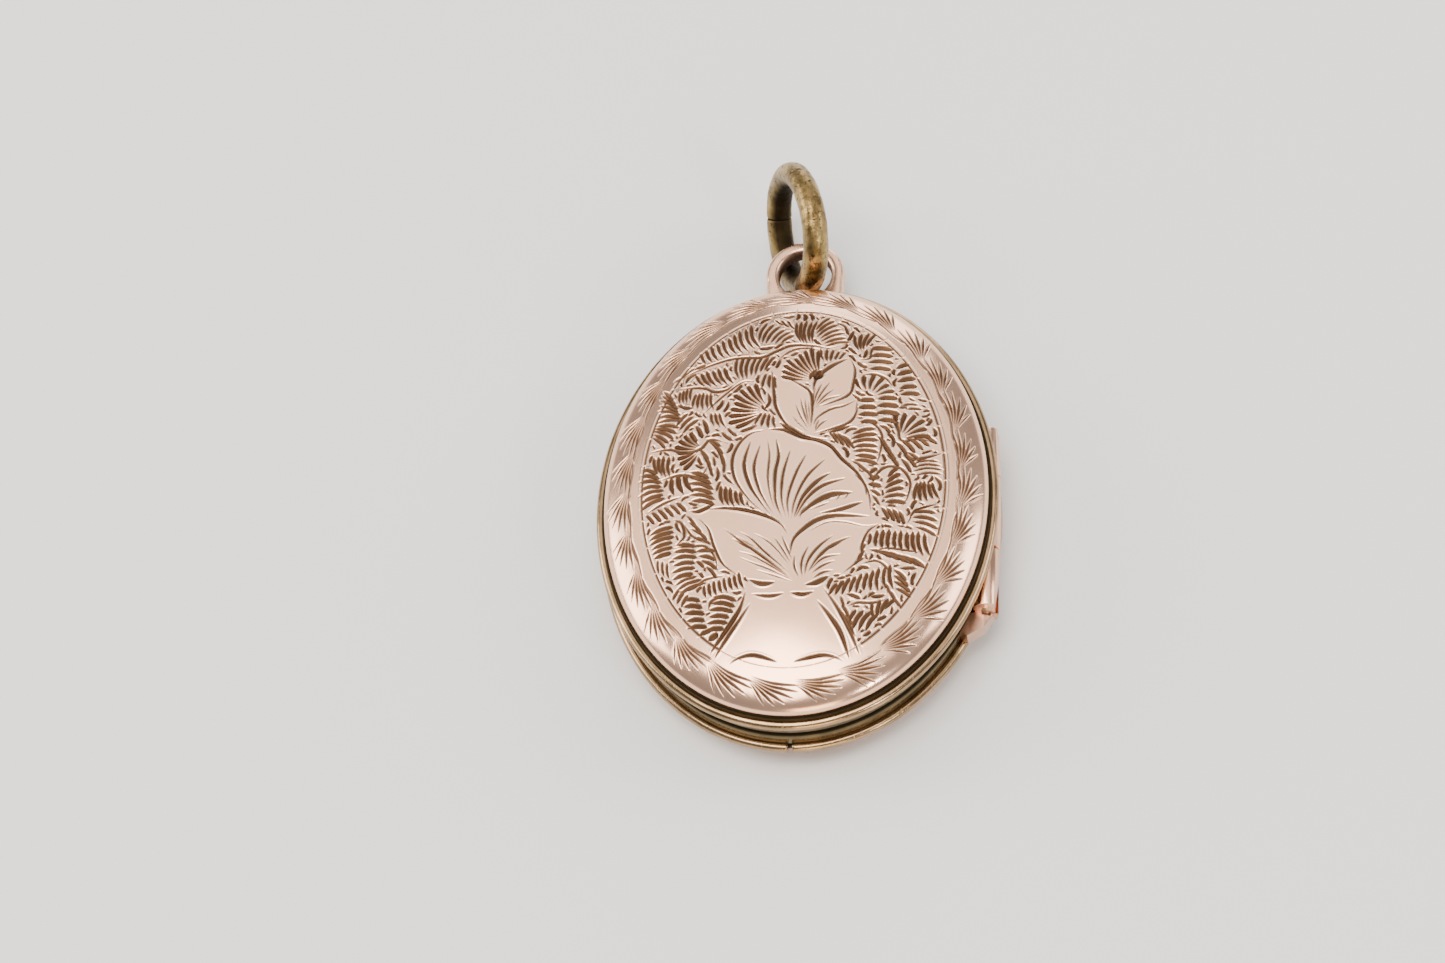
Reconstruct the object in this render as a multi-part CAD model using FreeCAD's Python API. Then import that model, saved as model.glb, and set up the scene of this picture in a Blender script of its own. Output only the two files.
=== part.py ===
"""Oval back-and-front locket with a fixed bail eye and a loose jump ring.

Millimetres. The locket lies face up on its back cover. +Z points out of the engraved
front cover, +Y runs from the bottom of the locket to the bail eye and +X points to the
hinge. The origin is the middle of the oval on the flat resting face of the back cover.
"""
import FreeCAD, Part
import math
import os

V = FreeCAD.Vector

# ------------------------------------------------------------ the body as a whole
BODY_WIDTH = 20.0            # across the two edge wires
BODY_LENGTH = 25.6           # along the body, without the eye
SEAM_Z = 2.55                # the level where the halves meet, and the hinge axis
SEAM_GAP = 0.08
SEAM_REBATE = 0.10           # the small step each band has at the seam
SEAM_REBATE_HALF = 0.13      # half the height of the two steps together

# ------------------------------------------------------------ side bands and edge wires
RIM_INSET = 0.35             # outer face of a band, in from the outline of the wires
RIM_WALL = 0.45
RIM_REAR_BOTTOM = 1.20
RIM_FRONT_TOP = 4.10
WIRE_D = 0.50
WIRE_REAR_Z = 1.50
WIRE_FRONT_Z = 3.60
BUTT_GAP = 0.23              # gap left where the ends of the rear wire meet
BUTT_X = -0.36               # it sits a little to the left of the bottom
BUTT_SLOT_TOP = 2.20         # the gap runs on as a small slot in the band
BUTT_SLOT_DEPTH = 0.14

# ------------------------------------------------------------ covers
COVER_INSET = 0.45           # edge of a cover, in from the outline of the wires
COVER_LAND = 0.12            # upright part of a cover's edge before the dome starts
COVER_WALL = 0.35
COVER_INNER_LAND = 0.05      # the same upright part on the inside of a cover
CROWN_Z = 5.95               # top of the front cover
CROWN_SHARE = 0.03           # the tiny flat at the crown, as a share of the outline
FRONT_SWELL = 2.6            # the higher, the fuller the dome
REAR_FLAT = 0.55             # the flat middle of the back, as a share of its outline
REAR_SWELL = 2.2
DOME_LEVELS = 15             # level lines that a dome is lofted through

# ------------------------------------------------------------ what is inside
LIP_WALL = 0.24              # snap bezel of the rear half
LIP_TOP = 3.05
LIP_CLEARANCE = 0.06
LIP_END_ROOM = 0.45          # how far the lip stops short of the barrel
LIP_HINGE_BOTTOM = 2.00      # below this it runs on behind the barrel
FRAME_REAR = (1.90, 2.70)    # bottom and top of the rear picture frame
FRAME_FRONT = (3.15, 3.90)
FRAME_BORDER = 0.85          # width of the frame, seen from the front
FRAME_REBATE = 0.45          # how far in its step for the window starts
CARD_THICKNESS = 0.20
CRYSTAL_THICKNESS = 0.28
LINING_THICKNESS = 0.18

# ------------------------------------------------------------ hinge
HINGE_X = 9.32
KNUCKLE_R = 0.70
PIN_R = 0.25
PIN_CLEARANCE = 0.02         # in the middle knuckle, which turns on the pin
SWEEP_R = 0.78               # room cut round the other half's knuckles
BARREL_TOP = 4.40
BARREL_JOINT_UPPER = 1.70
BARREL_JOINT_LOWER = -2.56
BARREL_BOTTOM = -5.86
KNUCKLE_GAP = 0.06
BARREL_END_ROOM = 0.08       # room past each end of the barrel
PIN_PROUD = 0.05             # how far the pin stands out at each end
PIN_END_ROOM = 0.20          # room past each end of the pin's seat
BARREL_FILED = (10.02, 24.0)  # semi-axes of the oval the barrel is filed to
SEAT_INNER_X = HINGE_X - 0.60
SEAT_OUTER_X = HINGE_X + 0.42
SEAT_RISE = 0.56             # bottom of a seat, above the bottom of the rear band
SEAT_FLARE = 0.12            # how far its flank stands out in the middle
SEAT_FLARE_Z = (2.10, 2.22)
SEAT_ROOF = 0.30             # width of its upper face
SEAT_END_ROOM = 0.06         # how far a seat runs past the barrel
SEAT_DEPTH = 0.30            # how far it may reach in behind the band
SEAT_SLOPE = [(8.97, 2.62), (10.22, 2.62), (10.22, 1.95)]
SEAT_TIP_UPPER = [(9.60, 4.46), (8.15, 6.80), (7.00, 6.80), (7.00, 4.46)]
SEAT_TIP_LOWER = [(9.66, -5.92), (9.20, -6.70), (8.35, -7.22), (7.30, -6.60), (7.00, -5.92)]

# ------------------------------------------------------------ bail eye and jump ring
EYE_Y = 14.70
EYE_Z = 1.90
EYE_HOLE_R = 1.33
EYE_OUTER_R = 2.00
EYE_HEIGHT = 0.95
EYE_FOOT_HALF = 1.90         # half the width of the straight part below the eye
EYE_FOOT_RISE = 0.34
EYE_FOOT_Y = (12.1, 14.15)
RING_WIRE_R = 0.66
RING_CENTRE_R = 2.85
RING_CENTRE = V(-0.304, 16.640, 3.400)
RING_NORMAL = V(0.9128, 0.2769, -0.3002)

# ------------------------------------------------------------ building blocks


def semis(inset):
    """Semi-axes of the oval that lies this far inside the outline of the wires."""
    return BODY_WIDTH / 2 - inset, BODY_LENGTH / 2 - inset


def oval_wire(a, b, z):
    """An ellipse at height z, a along X and b along Y, b being the longer one."""
    edge = Part.Ellipse(V(0, 0, z), b, a).toShape()
    edge.rotate(V(0, 0, z), V(0, 0, 1), 90)
    return Part.Wire([edge])


def oval_solid(a, b, z0, z1):
    return Part.Face(oval_wire(a, b, z0)).extrude(V(0, 0, z1 - z0))


def oval_plate(inset, z0, z1):
    a, b = semis(inset)
    return oval_solid(a, b, z0, z1)


def oval_band(outer_inset, inner_inset, z0, z1):
    return oval_plate(outer_inset, z0, z1).cut(oval_plate(inner_inset, z0 - 1, z1 + 1))


def block(x0, x1, y0, y1, z0, z1):
    return Part.makeBox(x1 - x0, y1 - y0, z1 - z0, V(x0, y0, z0))


def rod(radius, y0, y1):
    """A round bar on the hinge axis."""
    return Part.makeCylinder(radius, y1 - y0, V(HINGE_X, y0, SEAM_Z), V(0, 1, 0))


def level_oval(t, a, b):
    """Level line a fraction t of the way out from the crown of a domed cover.

    Near the edge the lines keep an even distance from each other; towards the
    crown they shrink to a point.
    """
    spread = (1 - t) * (1 - (1 - t) ** 4)
    return a * t, b * t + (b - a) * spread


def domed(inset, base, land, rise, height_at, t_last):
    """A solid cap: an upright land, then a dome lofted through its level ovals."""
    a, b = semis(inset)
    up = 1 if rise > 0 else -1
    start = base + up * land
    levels = []
    for step in range(DOME_LEVELS):
        share = step / (DOME_LEVELS - 1)
        t = 1 - (1 - t_last) * (1 - math.cos(share * math.pi / 2))
        a_level, b_level = level_oval(t, a, b)
        levels.append(oval_wire(a_level, b_level, start + rise * height_at(t)))
    cap = Part.makeLoft(levels, True, False)
    return cap.fuse(oval_solid(a, b, base, start)).removeSplitter()


def front_height(t):
    return math.sqrt(max(0.0, 1 - t ** FRONT_SWELL))


def rear_height(t):
    share = (t - REAR_FLAT) / (1 - REAR_FLAT)
    return math.sqrt(max(0.0, 1 - max(0.0, share) ** REAR_SWELL))


def round_wire_oval(z, first=0.0, turn=2 * math.pi):
    """A round wire bent round the band, its outer side on the outline.

    It starts at the angle first, counted anticlockwise from the top of the oval.
    """
    a, b = semis(WIRE_D / 2)
    arc = Part.ArcOfEllipse(Part.Ellipse(V(0, 0, z), b, a), first, first + turn)
    edge = arc.toBSpline().toShape()
    edge.rotate(V(0, 0, z), V(0, 0, 1), 90)
    start = edge.valueAt(edge.FirstParameter)
    along = edge.tangentAt(edge.FirstParameter)
    section = Part.Wire([Part.makeCircle(WIRE_D / 2, start, along)])
    return Part.Solid(Part.Wire([edge]).makePipeShell([section], True, False))


def prism(points, z0, z1):
    """An upright prism over a polygon given as (x, y) corners."""
    corners = [V(x, y, z0) for x, y in points]
    face = Part.Face(Part.makePolygon(corners + [corners[0]]))
    return face.extrude(V(0, 0, z1 - z0))


def channel(points, y0, y1):
    """A bar along Y with a polygon section given as (x, z) corners."""
    corners = [V(x, y0, z) for x, z in points]
    face = Part.Face(Part.makePolygon(corners + [corners[0]]))
    return face.extrude(V(0, y1 - y0, 0))


def cut_all(shape, tools):
    for tool in tools:
        shape = shape.cut(tool)
    return shape


def save(shape, node):
    if shape.ShapeType != "Solid":
        solids = sorted(shape.Solids, key=lambda solid: solid.Volume)
        if len(solids) != 1:
            print(node, "has", len(solids), "solids")
        shape = solids[-1]
    print("%-22s %9.3f mm3 valid %s" % (node, shape.Volume, shape.isValid()))
    shape.exportStep("parts/" + node + ".step")


os.makedirs("parts", exist_ok=True)

# ------------------------------------------------------------ knuckles and pin

seam_low = SEAM_Z - SEAM_GAP / 2
seam_high = SEAM_Z + SEAM_GAP / 2
half_gap = KNUCKLE_GAP / 2
upper = (BARREL_JOINT_UPPER + half_gap, BARREL_TOP)
middle = (BARREL_JOINT_LOWER + half_gap, BARREL_JOINT_UPPER - half_gap)
lower = (BARREL_BOTTOM, BARREL_JOINT_LOWER - half_gap)
filed = oval_solid(BARREL_FILED[0], BARREL_FILED[1], 0, 6)


def knuckle(span, bore):
    tube = rod(KNUCKLE_R, span[0], span[1]).cut(rod(bore, span[0] - 1, span[1] + 1))
    return tube.common(filed)


save(knuckle(upper, PIN_R), "rear_knuckle_upper")
save(knuckle(lower, PIN_R), "rear_knuckle_lower")
save(knuckle(middle, PIN_R + PIN_CLEARANCE), "front_knuckle")
save(rod(PIN_R, BARREL_BOTTOM - PIN_PROUD, BARREL_TOP + PIN_PROUD), "hinge_pin")

barrel = rod(KNUCKLE_R, BARREL_BOTTOM, BARREL_TOP)
rear_sweep = rod(SWEEP_R, middle[0] - half_gap, middle[1] + half_gap)
front_sweeps = [
    rod(SWEEP_R, upper[0] - half_gap, upper[1] + BARREL_END_ROOM),
    rod(SWEEP_R, lower[0] - BARREL_END_ROOM, lower[1] + half_gap),
]
whole_sweep = rod(SWEEP_R, BARREL_BOTTOM - BARREL_END_ROOM, BARREL_TOP + BARREL_END_ROOM)

# ------------------------------------------------------------ edge wires

rear_wire = round_wire_oval(WIRE_REAR_Z)
front_wire = round_wire_oval(WIRE_FRONT_Z)
bottom_y = -BODY_LENGTH / 2
butt_angle = math.pi + BUTT_X / semis(WIRE_D / 2)[0]
half_butt = BUTT_GAP / 2 / semis(WIRE_D / 2)[0]
open_wire = round_wire_oval(WIRE_REAR_Z, butt_angle + half_butt, 2 * (math.pi - half_butt))
save(open_wire, "rear_edge_wire")
save(front_wire, "front_edge_wire")

# ------------------------------------------------------------ hinge seats

# A saddle under the barrel: a bar with the round of the barrel cut out of it.
seat_bottom = RIM_REAR_BOTTOM + SEAT_RISE
saddle_low = [
    (SEAT_INNER_X, seat_bottom),
    (SEAT_OUTER_X, seat_bottom),
    (SEAT_OUTER_X + SEAT_FLARE, SEAT_FLARE_Z[0]),
    (SEAT_OUTER_X + SEAT_FLARE, SEAT_FLARE_Z[1]),
    (SEAT_INNER_X + SEAT_ROOF, seam_low),
    (SEAT_INNER_X, seam_low),
]
saddle_high = [(x, 2 * SEAM_Z - z) for x, z in saddle_low]

# The tapered ends lie against the outside of the band and slope down outwards.
slope = channel(SEAT_SLOPE, -BODY_LENGTH / 2, BODY_LENGTH / 2)
tips = []
for outline in (SEAT_TIP_UPPER, SEAT_TIP_LOWER):
    tip = prism(outline, seat_bottom, seam_low)
    tips.append(cut_all(tip, [oval_plate(RIM_INSET, 0, 6), slope]))
inside = oval_plate(RIM_INSET + RIM_WALL + SEAT_DEPTH, 0, 6)
rear_seat = channel(saddle_low, BARREL_BOTTOM - SEAT_END_ROOM, BARREL_TOP + SEAT_END_ROOM)
rear_seat = cut_all(rear_seat, [inside, barrel, rear_sweep])
rear_seat = rear_seat.fuse(tips)
pin_room = rod(PIN_R + PIN_CLEARANCE, BARREL_BOTTOM - PIN_END_ROOM, BARREL_TOP + PIN_END_ROOM)
rear_seat = rear_seat.cut(pin_room)
front_seat = channel(saddle_high, middle[0], middle[1])
front_seat = cut_all(front_seat, [inside, barrel])
save(rear_seat, "rear_hinge_seat")
save(front_seat, "front_hinge_seat")

# ------------------------------------------------------------ side bands

rebate = oval_band(
    RIM_INSET / 2, RIM_INSET + SEAM_REBATE, SEAM_Z - SEAM_REBATE_HALF, SEAM_Z + SEAM_REBATE_HALF)
rear_rim = oval_band(RIM_INSET, RIM_INSET + RIM_WALL, RIM_REAR_BOTTOM, seam_low)
slot = block(
    BUTT_X - BUTT_GAP / 2, BUTT_X + BUTT_GAP / 2,
    bottom_y - 1, bottom_y + RIM_INSET + BUTT_SLOT_DEPTH,
    WIRE_REAR_Z - WIRE_D / 2, BUTT_SLOT_TOP,
)
rear_rim = cut_all(rear_rim, [rear_wire, rebate, slot, rear_seat, barrel, rear_sweep])
front_rim = oval_band(RIM_INSET, RIM_INSET + RIM_WALL, seam_high, RIM_FRONT_TOP)
front_rim = cut_all(front_rim, [front_wire, rebate, front_seat, barrel] + front_sweeps)
save(rear_rim, "rear_rim")
save(front_rim, "front_rim")

# ------------------------------------------------------------ covers

front_start = RIM_FRONT_TOP + COVER_LAND
front_outer = domed(
    COVER_INSET, RIM_FRONT_TOP, COVER_LAND, CROWN_Z - front_start, front_height, CROWN_SHARE)
front_inner = domed(
    COVER_INSET + COVER_WALL, RIM_FRONT_TOP, COVER_INNER_LAND,
    CROWN_Z - COVER_WALL - RIM_FRONT_TOP - COVER_INNER_LAND, front_height, CROWN_SHARE)
save(front_outer.cut(front_inner), "front_cover")

rear_start = RIM_REAR_BOTTOM - COVER_LAND
rear_outer = domed(
    COVER_INSET, RIM_REAR_BOTTOM, COVER_LAND, -rear_start, rear_height, REAR_FLAT)
rear_inner = domed(
    COVER_INSET + COVER_WALL, RIM_REAR_BOTTOM, COVER_INNER_LAND,
    -(RIM_REAR_BOTTOM - COVER_WALL - COVER_INNER_LAND), rear_height, REAR_FLAT)
save(rear_outer.cut(rear_inner), "rear_cover")

# ------------------------------------------------------------ snap bezel of the rear half

wall_inset = RIM_INSET + RIM_WALL
lip_inner = wall_inset + LIP_CLEARANCE + LIP_WALL
lip = oval_band(wall_inset, lip_inner, FRAME_REAR[0], seam_low)
lip = lip.fuse(oval_band(wall_inset + LIP_CLEARANCE, lip_inner, seam_low, LIP_TOP))
hinge_room = block(
    5, 12, BARREL_BOTTOM - LIP_END_ROOM, BARREL_TOP + LIP_END_ROOM, LIP_HINGE_BOTTOM, 4)
lip = cut_all(lip, [hinge_room, whole_sweep, rear_seat])
save(lip, "closing_lip")

# ------------------------------------------------------------ linings, pictures and windows


def picture(prefix, frame_z, frame_inset, face, seat):
    """Frame, window and blank card of one half. face is +1 if it looks up, -1 if down."""
    low, high = frame_z
    rebate_inset = frame_inset + FRAME_REBATE
    outer = oval_band(frame_inset, frame_inset + FRAME_BORDER, low, high)
    if face > 0:
        glass = (low + CARD_THICKNESS, low + CARD_THICKNESS + CRYSTAL_THICKNESS)
        card = (low, low + CARD_THICKNESS)
    else:
        glass = (high - CARD_THICKNESS - CRYSTAL_THICKNESS, high - CARD_THICKNESS)
        card = (high - CARD_THICKNESS, high)
    seat_z = (min(glass[0], card[0]), max(glass[1], card[1]))
    a, b = semis(rebate_inset)
    outer = outer.cut(oval_solid(a, b, seat_z[0], seat_z[1]))
    save(cut_all(outer, [whole_sweep, seat]), prefix + "_photo_frame")
    save(oval_plate(rebate_inset, card[0], card[1]), prefix + "_photo_card")
    save(oval_plate(rebate_inset, glass[0], glass[1]), prefix + "_crystal")


picture("rear", FRAME_REAR, lip_inner, 1, rear_seat)
picture("front", FRAME_FRONT, wall_inset, -1, front_seat)
rear_lining = oval_plate(wall_inset, FRAME_REAR[0] - LINING_THICKNESS, FRAME_REAR[0])
save(cut_all(rear_lining, [whole_sweep, rear_seat]), "rear_lining")
front_lining = oval_plate(wall_inset, FRAME_FRONT[1], FRAME_FRONT[1] + LINING_THICKNESS)
save(front_lining, "front_lining")

# ------------------------------------------------------------ bail eye

# The limb of the eye is a tall rounded section turned about the axis of the hole.
limb_r = (EYE_OUTER_R - EYE_HOLE_R) / 2
mid_r = EYE_HOLE_R + limb_r
half_flat = EYE_HEIGHT / 2 - limb_r
centre_low = V(mid_r, EYE_Y, EYE_Z - half_flat)
centre_high = V(mid_r, EYE_Y, EYE_Z + half_flat)
side = V(limb_r, 0, 0)
rise_z = V(0, 0, limb_r)
section = Part.Wire([
    Part.makeLine(centre_low + side, centre_high + side),
    Part.Arc(centre_high + side, centre_high + rise_z, centre_high - side).toShape(),
    Part.makeLine(centre_high - side, centre_low - side),
    Part.Arc(centre_low - side, centre_low - rise_z, centre_low + side).toShape(),
])
eye = Part.Face(section).revolve(V(0, EYE_Y, 0), V(0, 0, 1), 360)
# Below its middle the eye's sides run straight down into the band, like a small arch.
foot = block(
    -EYE_FOOT_HALF, EYE_FOOT_HALF, EYE_FOOT_Y[0], EYE_FOOT_Y[1],
    EYE_Z - EYE_FOOT_RISE, EYE_Z + EYE_FOOT_RISE)
hole = Part.makeCylinder(mid_r, 3, V(0, EYE_Y, 0), V(0, 0, 1))
rim_full = oval_plate(RIM_INSET, 0, 6)
eye = eye.fuse(foot.cut(hole))
eye = cut_all(eye, [rim_full, rear_wire])
save(eye, "bail_eye")

# ------------------------------------------------------------ jump ring

save(Part.makeTorus(RING_CENTRE_R, RING_WIRE_R, RING_CENTRE, RING_NORMAL), "jump_ring")
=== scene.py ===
# %% [markdown]
# # An engraved oval locket
# A small antique locket in rose gold: two oval halves joined by a barrel hinge, a wire
# round the edge of each half, a domed and hand-engraved front cover, a fixed eye at the
# top and a heavy round ring standing through the eye. Nearly every piece here is a surface
# worked out with numpy and laid exactly where the solid model of the locket has it; the hinge seats
# and the linings keep the solid model's own mesh.

import math

import bpy
import numpy as np
from mathutils import Matrix, Vector


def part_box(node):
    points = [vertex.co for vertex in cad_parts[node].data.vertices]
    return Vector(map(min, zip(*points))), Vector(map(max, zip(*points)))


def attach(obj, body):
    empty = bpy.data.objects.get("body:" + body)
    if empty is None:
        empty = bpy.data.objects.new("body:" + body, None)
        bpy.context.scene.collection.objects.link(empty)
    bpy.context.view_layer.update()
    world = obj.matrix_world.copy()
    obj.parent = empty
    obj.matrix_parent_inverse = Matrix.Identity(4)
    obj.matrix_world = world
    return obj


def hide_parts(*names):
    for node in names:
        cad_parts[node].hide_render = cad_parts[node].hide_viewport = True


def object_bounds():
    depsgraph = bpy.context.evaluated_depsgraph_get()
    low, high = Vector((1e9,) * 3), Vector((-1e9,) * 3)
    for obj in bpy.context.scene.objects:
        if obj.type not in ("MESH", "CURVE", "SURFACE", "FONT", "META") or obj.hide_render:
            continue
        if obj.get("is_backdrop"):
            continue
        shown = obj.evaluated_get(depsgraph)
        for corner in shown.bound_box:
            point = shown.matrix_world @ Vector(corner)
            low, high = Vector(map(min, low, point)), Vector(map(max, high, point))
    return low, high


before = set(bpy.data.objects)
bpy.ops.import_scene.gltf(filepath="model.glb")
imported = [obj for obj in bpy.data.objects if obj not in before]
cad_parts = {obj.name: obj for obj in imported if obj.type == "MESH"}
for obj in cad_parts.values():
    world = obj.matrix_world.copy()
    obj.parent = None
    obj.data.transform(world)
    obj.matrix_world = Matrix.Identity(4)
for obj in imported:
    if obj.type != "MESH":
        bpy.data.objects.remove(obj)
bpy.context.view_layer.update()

# %% [markdown]
# Lengths are thought of in millimetres and turned into Blender's metres at the very end.
# The driving sizes are read from the frame, so that the pieces follow the solid model.

# %% Sizes taken from the frame
MM = 0.001


def box_mm(node):
    """Lowest and highest corner of a solid's box, in mm."""
    low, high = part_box(node)
    return np.array(low) / MM, np.array(high) / MM


wire_low, wire_high = box_mm("front_edge_wire")
HALF_WIDTH, HALF_LENGTH = wire_high[0], wire_high[1]
WIRE_R = (wire_high[2] - wire_low[2]) / 2
WIRE_FRONT_Z = (wire_high[2] + wire_low[2]) / 2
WIRE_REAR_Z = float(sum(b[2] for b in box_mm("rear_edge_wire")) / 2)
rim_low, rim_high = box_mm("front_rim")
RIM_FRONT = (rim_low[2], rim_high[2])
RIM_REAR = (box_mm("rear_rim")[0][2], box_mm("rear_rim")[1][2])
RIM_INSET = HALF_WIDTH - rim_high[0]
CROWN_Z = box_mm("front_cover")[1][2]
COVER_INSET = HALF_WIDTH - box_mm("front_cover")[1][0]
knuckle_low, knuckle_high = box_mm("front_knuckle")
pin_low, pin_high = box_mm("hinge_pin")
HINGE_X = float(pin_low[0] + pin_high[0]) / 2
HINGE_Z = float(pin_low[2] + pin_high[2]) / 2
PIN_R = float(pin_high[2] - pin_low[2]) / 2
COVER_A = HALF_WIDTH - COVER_INSET
COVER_B = HALF_LENGTH - COVER_INSET
# How far inside the cover's edge two lines run: the one round the drawing, and the outer
# edge of the polished ring.
FIELD_INSET, RING_INSET = 2.02, 1.42
KNUCKLE_R = float(knuckle_high[2] - knuckle_low[2]) / 2
print("half width and length", round(HALF_WIDTH, 2), round(HALF_LENGTH, 2))
print("hinge axis x, z", round(HINGE_X, 2), round(HINGE_Z, 2), "knuckle r", round(KNUCKLE_R, 2))

# %% [markdown]
# ## Camera, floor and light
# The locket is seen from its bottom end, from well above, with a long lens. The camera
# is placed by two angles and a distance, then rolled a little, as a hand-held camera is.

# %% Camera
AZIMUTH, ELEVATION, ROLL = math.radians(11.96), math.radians(57.0), math.radians(-12.6)
DISTANCE = 0.330
AIM_HEIGHT, AIM_LEFT, AIM_UP = 1.5, 3.94, 2.32
SENSOR_WIDTH, LENS = 36.0, 165.5
back = Vector((math.sin(AZIMUTH) * math.cos(ELEVATION),
               -math.cos(AZIMUTH) * math.cos(ELEVATION), math.sin(ELEVATION)))
level = Vector((math.cos(AZIMUTH), math.sin(AZIMUTH), 0.0))
rise = back.cross(level)
right = level * math.cos(ROLL) + rise * math.sin(ROLL)
up = rise * math.cos(ROLL) - level * math.sin(ROLL)
aim = Vector((0.0, 0.0, AIM_HEIGHT * MM)) - right * AIM_LEFT * MM + up * AIM_UP * MM
place = Matrix((right, up, back)).transposed().to_4x4()
place.translation = aim + back * DISTANCE
camera_data = bpy.data.cameras.new("camera")
camera_data.sensor_width = SENSOR_WIDTH
camera_data.lens = LENS
camera_data.clip_start = 0.01
camera = bpy.data.objects.new("camera", camera_data)
camera.matrix_world = place
bpy.context.scene.collection.objects.link(camera)
bpy.context.scene.camera = camera
print("camera at, mm:", [round(v / MM, 1) for v in place.translation])

# %% [markdown]
# Gold has no colour of its own where there is nothing to reflect, so the light is a few
# soft panels: a wide ceiling that the flat of the cover mirrors, a stronger panel overhead,
# lower ones on all four sides, and one small lamp for a glint on the shoulder.

# %% Lights
LIT_HEIGHT = 3
PANELS = (
    # name, where (mm), size (mm), power (watts), tint
    ("ceiling", (-40, 170, 620), 800, 3.1, (1.0, 0.93, 0.84)),
    ("overhead", (-60, -60, 400), 280, 2.0, (1.0, 0.93, 0.83)),
    ("left", (-360, 80, 170), 240, 1.2, (1.0, 0.96, 0.91)),
    ("right", (350, 60, 190), 220, 0.8, (1.0, 0.96, 0.92)),
    ("behind", (60, 430, 120), 240, 0.7, (1.0, 0.97, 0.94)),
    ("front low", (60, -430, 90), 200, 0.6, (1.0, 0.80, 0.48)),
    ("small lamp", (240, -262, 214), 60, 0.34, (1.0, 0.96, 0.90)),
)


def soft_panel(name, where, size, power, tint):
    """A square area light that faces the locket."""
    light = bpy.data.lights.new(name, "AREA")
    light.shape = "SQUARE"
    light.size = size * MM
    light.energy = power
    light.color = tint
    lamp = bpy.data.objects.new(name, light)
    spot = Vector(where) * MM
    lamp.location = spot
    towards_lamp = spot - Vector((0, 0, LIT_HEIGHT * MM))
    lamp.rotation_euler = towards_lamp.to_track_quat("Z", "Y").to_euler()
    bpy.context.scene.collection.objects.link(lamp)


for panel in PANELS:
    soft_panel(*panel)
print("lights:", [panel[0] for panel in PANELS])

# %% [markdown]
# The locket stands on a plain pale floor under a dim plain sky, which the upright bands
# mirror. The floor belongs to the stage, not to the locket.

# %% Sky and floor
SKY_TINT, SKY_STRENGTH = (0.84, 0.84, 0.86, 1), 0.48
FLOOR_REACH = 1.2
FLOOR_COLOR, FLOOR_ROUGHNESS = (0.74, 0.75, 0.76, 1), 0.85


def new_paint(name):
    """A material, its node tree and its shader."""
    paint = bpy.data.materials.new(name)
    paint.use_nodes = True
    return paint, paint.node_tree, paint.node_tree.nodes["Principled BSDF"]


world = bpy.data.worlds.new("pale sky")
bpy.context.scene.world = world
world.use_nodes = True
sky = world.node_tree.nodes["Background"]
sky.inputs["Color"].default_value = SKY_TINT
sky.inputs["Strength"].default_value = SKY_STRENGTH

floor_mesh = bpy.data.meshes.new("floor")
floor_corners = [(FLOOR_REACH * x, FLOOR_REACH * y, 0)
                 for x, y in ((-1, -1), (1, -1), (1, 1), (-1, 1))]
floor_mesh.from_pydata(floor_corners, [], [(0, 1, 2, 3)])
floor = bpy.data.objects.new("floor", floor_mesh)
bpy.context.scene.collection.objects.link(floor)
floor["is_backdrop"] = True
floor_paint, _, floor_shader = new_paint("pale floor")
floor_shader.inputs["Base Color"].default_value = FLOOR_COLOR
floor_shader.inputs["Roughness"].default_value = FLOOR_ROUGHNESS
floor_mesh.materials.append(floor_paint)
print("floor", 2 * FLOOR_REACH, "m wide; sky strength", SKY_STRENGTH)

# %% [markdown]
# ## Making a mesh from arrays
# A surface is a grid of points, `points[row, column]`, and its faces join each point to
# the next row and the next column. A grid can close on itself along either direction.
# The enclosed volume tells whether the faces look outwards; if it is negative every
# face is turned round.


# %% Faces of a grid
def grid_faces(rows, columns, close_rows=False, close_columns=False):
    """Four-sided faces of a grid: (r, c), (r, c+1), (r+1, c+1), (r+1, c). They wrap round
    where the grid closes."""
    r = np.arange(rows if close_rows else rows - 1)[:, None]
    c = np.arange(columns if close_columns else columns - 1)[None, :]
    r1, c1 = (r + 1) % rows, (c + 1) % columns
    corners = [r * columns + c, r * columns + c1, r1 * columns + c1, r1 * columns + c]
    return np.stack([k.ravel() for k in corners], 1)


def cap_faces(loop, centre):
    """Triangles from each step of a loop of point numbers to one centre point."""
    return np.stack([loop, np.roll(loop, -1), np.full_like(loop, centre)], 1)


def enclosed_volume(points, quads, triangles):
    """Sum over the triangles of a . (b x c) / 6, quads being two triangles each."""
    halves = [triangles] if len(triangles) else []
    if len(quads):
        halves += [quads[:, [0, 1, 2]], quads[:, [0, 2, 3]]]
    a, b, c = (points[np.concatenate(halves)[:, k]] for k in range(3))
    return float(np.einsum("ij,ij->", a, np.cross(b, c)) / 6)


print("a grid of 3 by 4 points makes", len(grid_faces(3, 4)), "faces")
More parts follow.
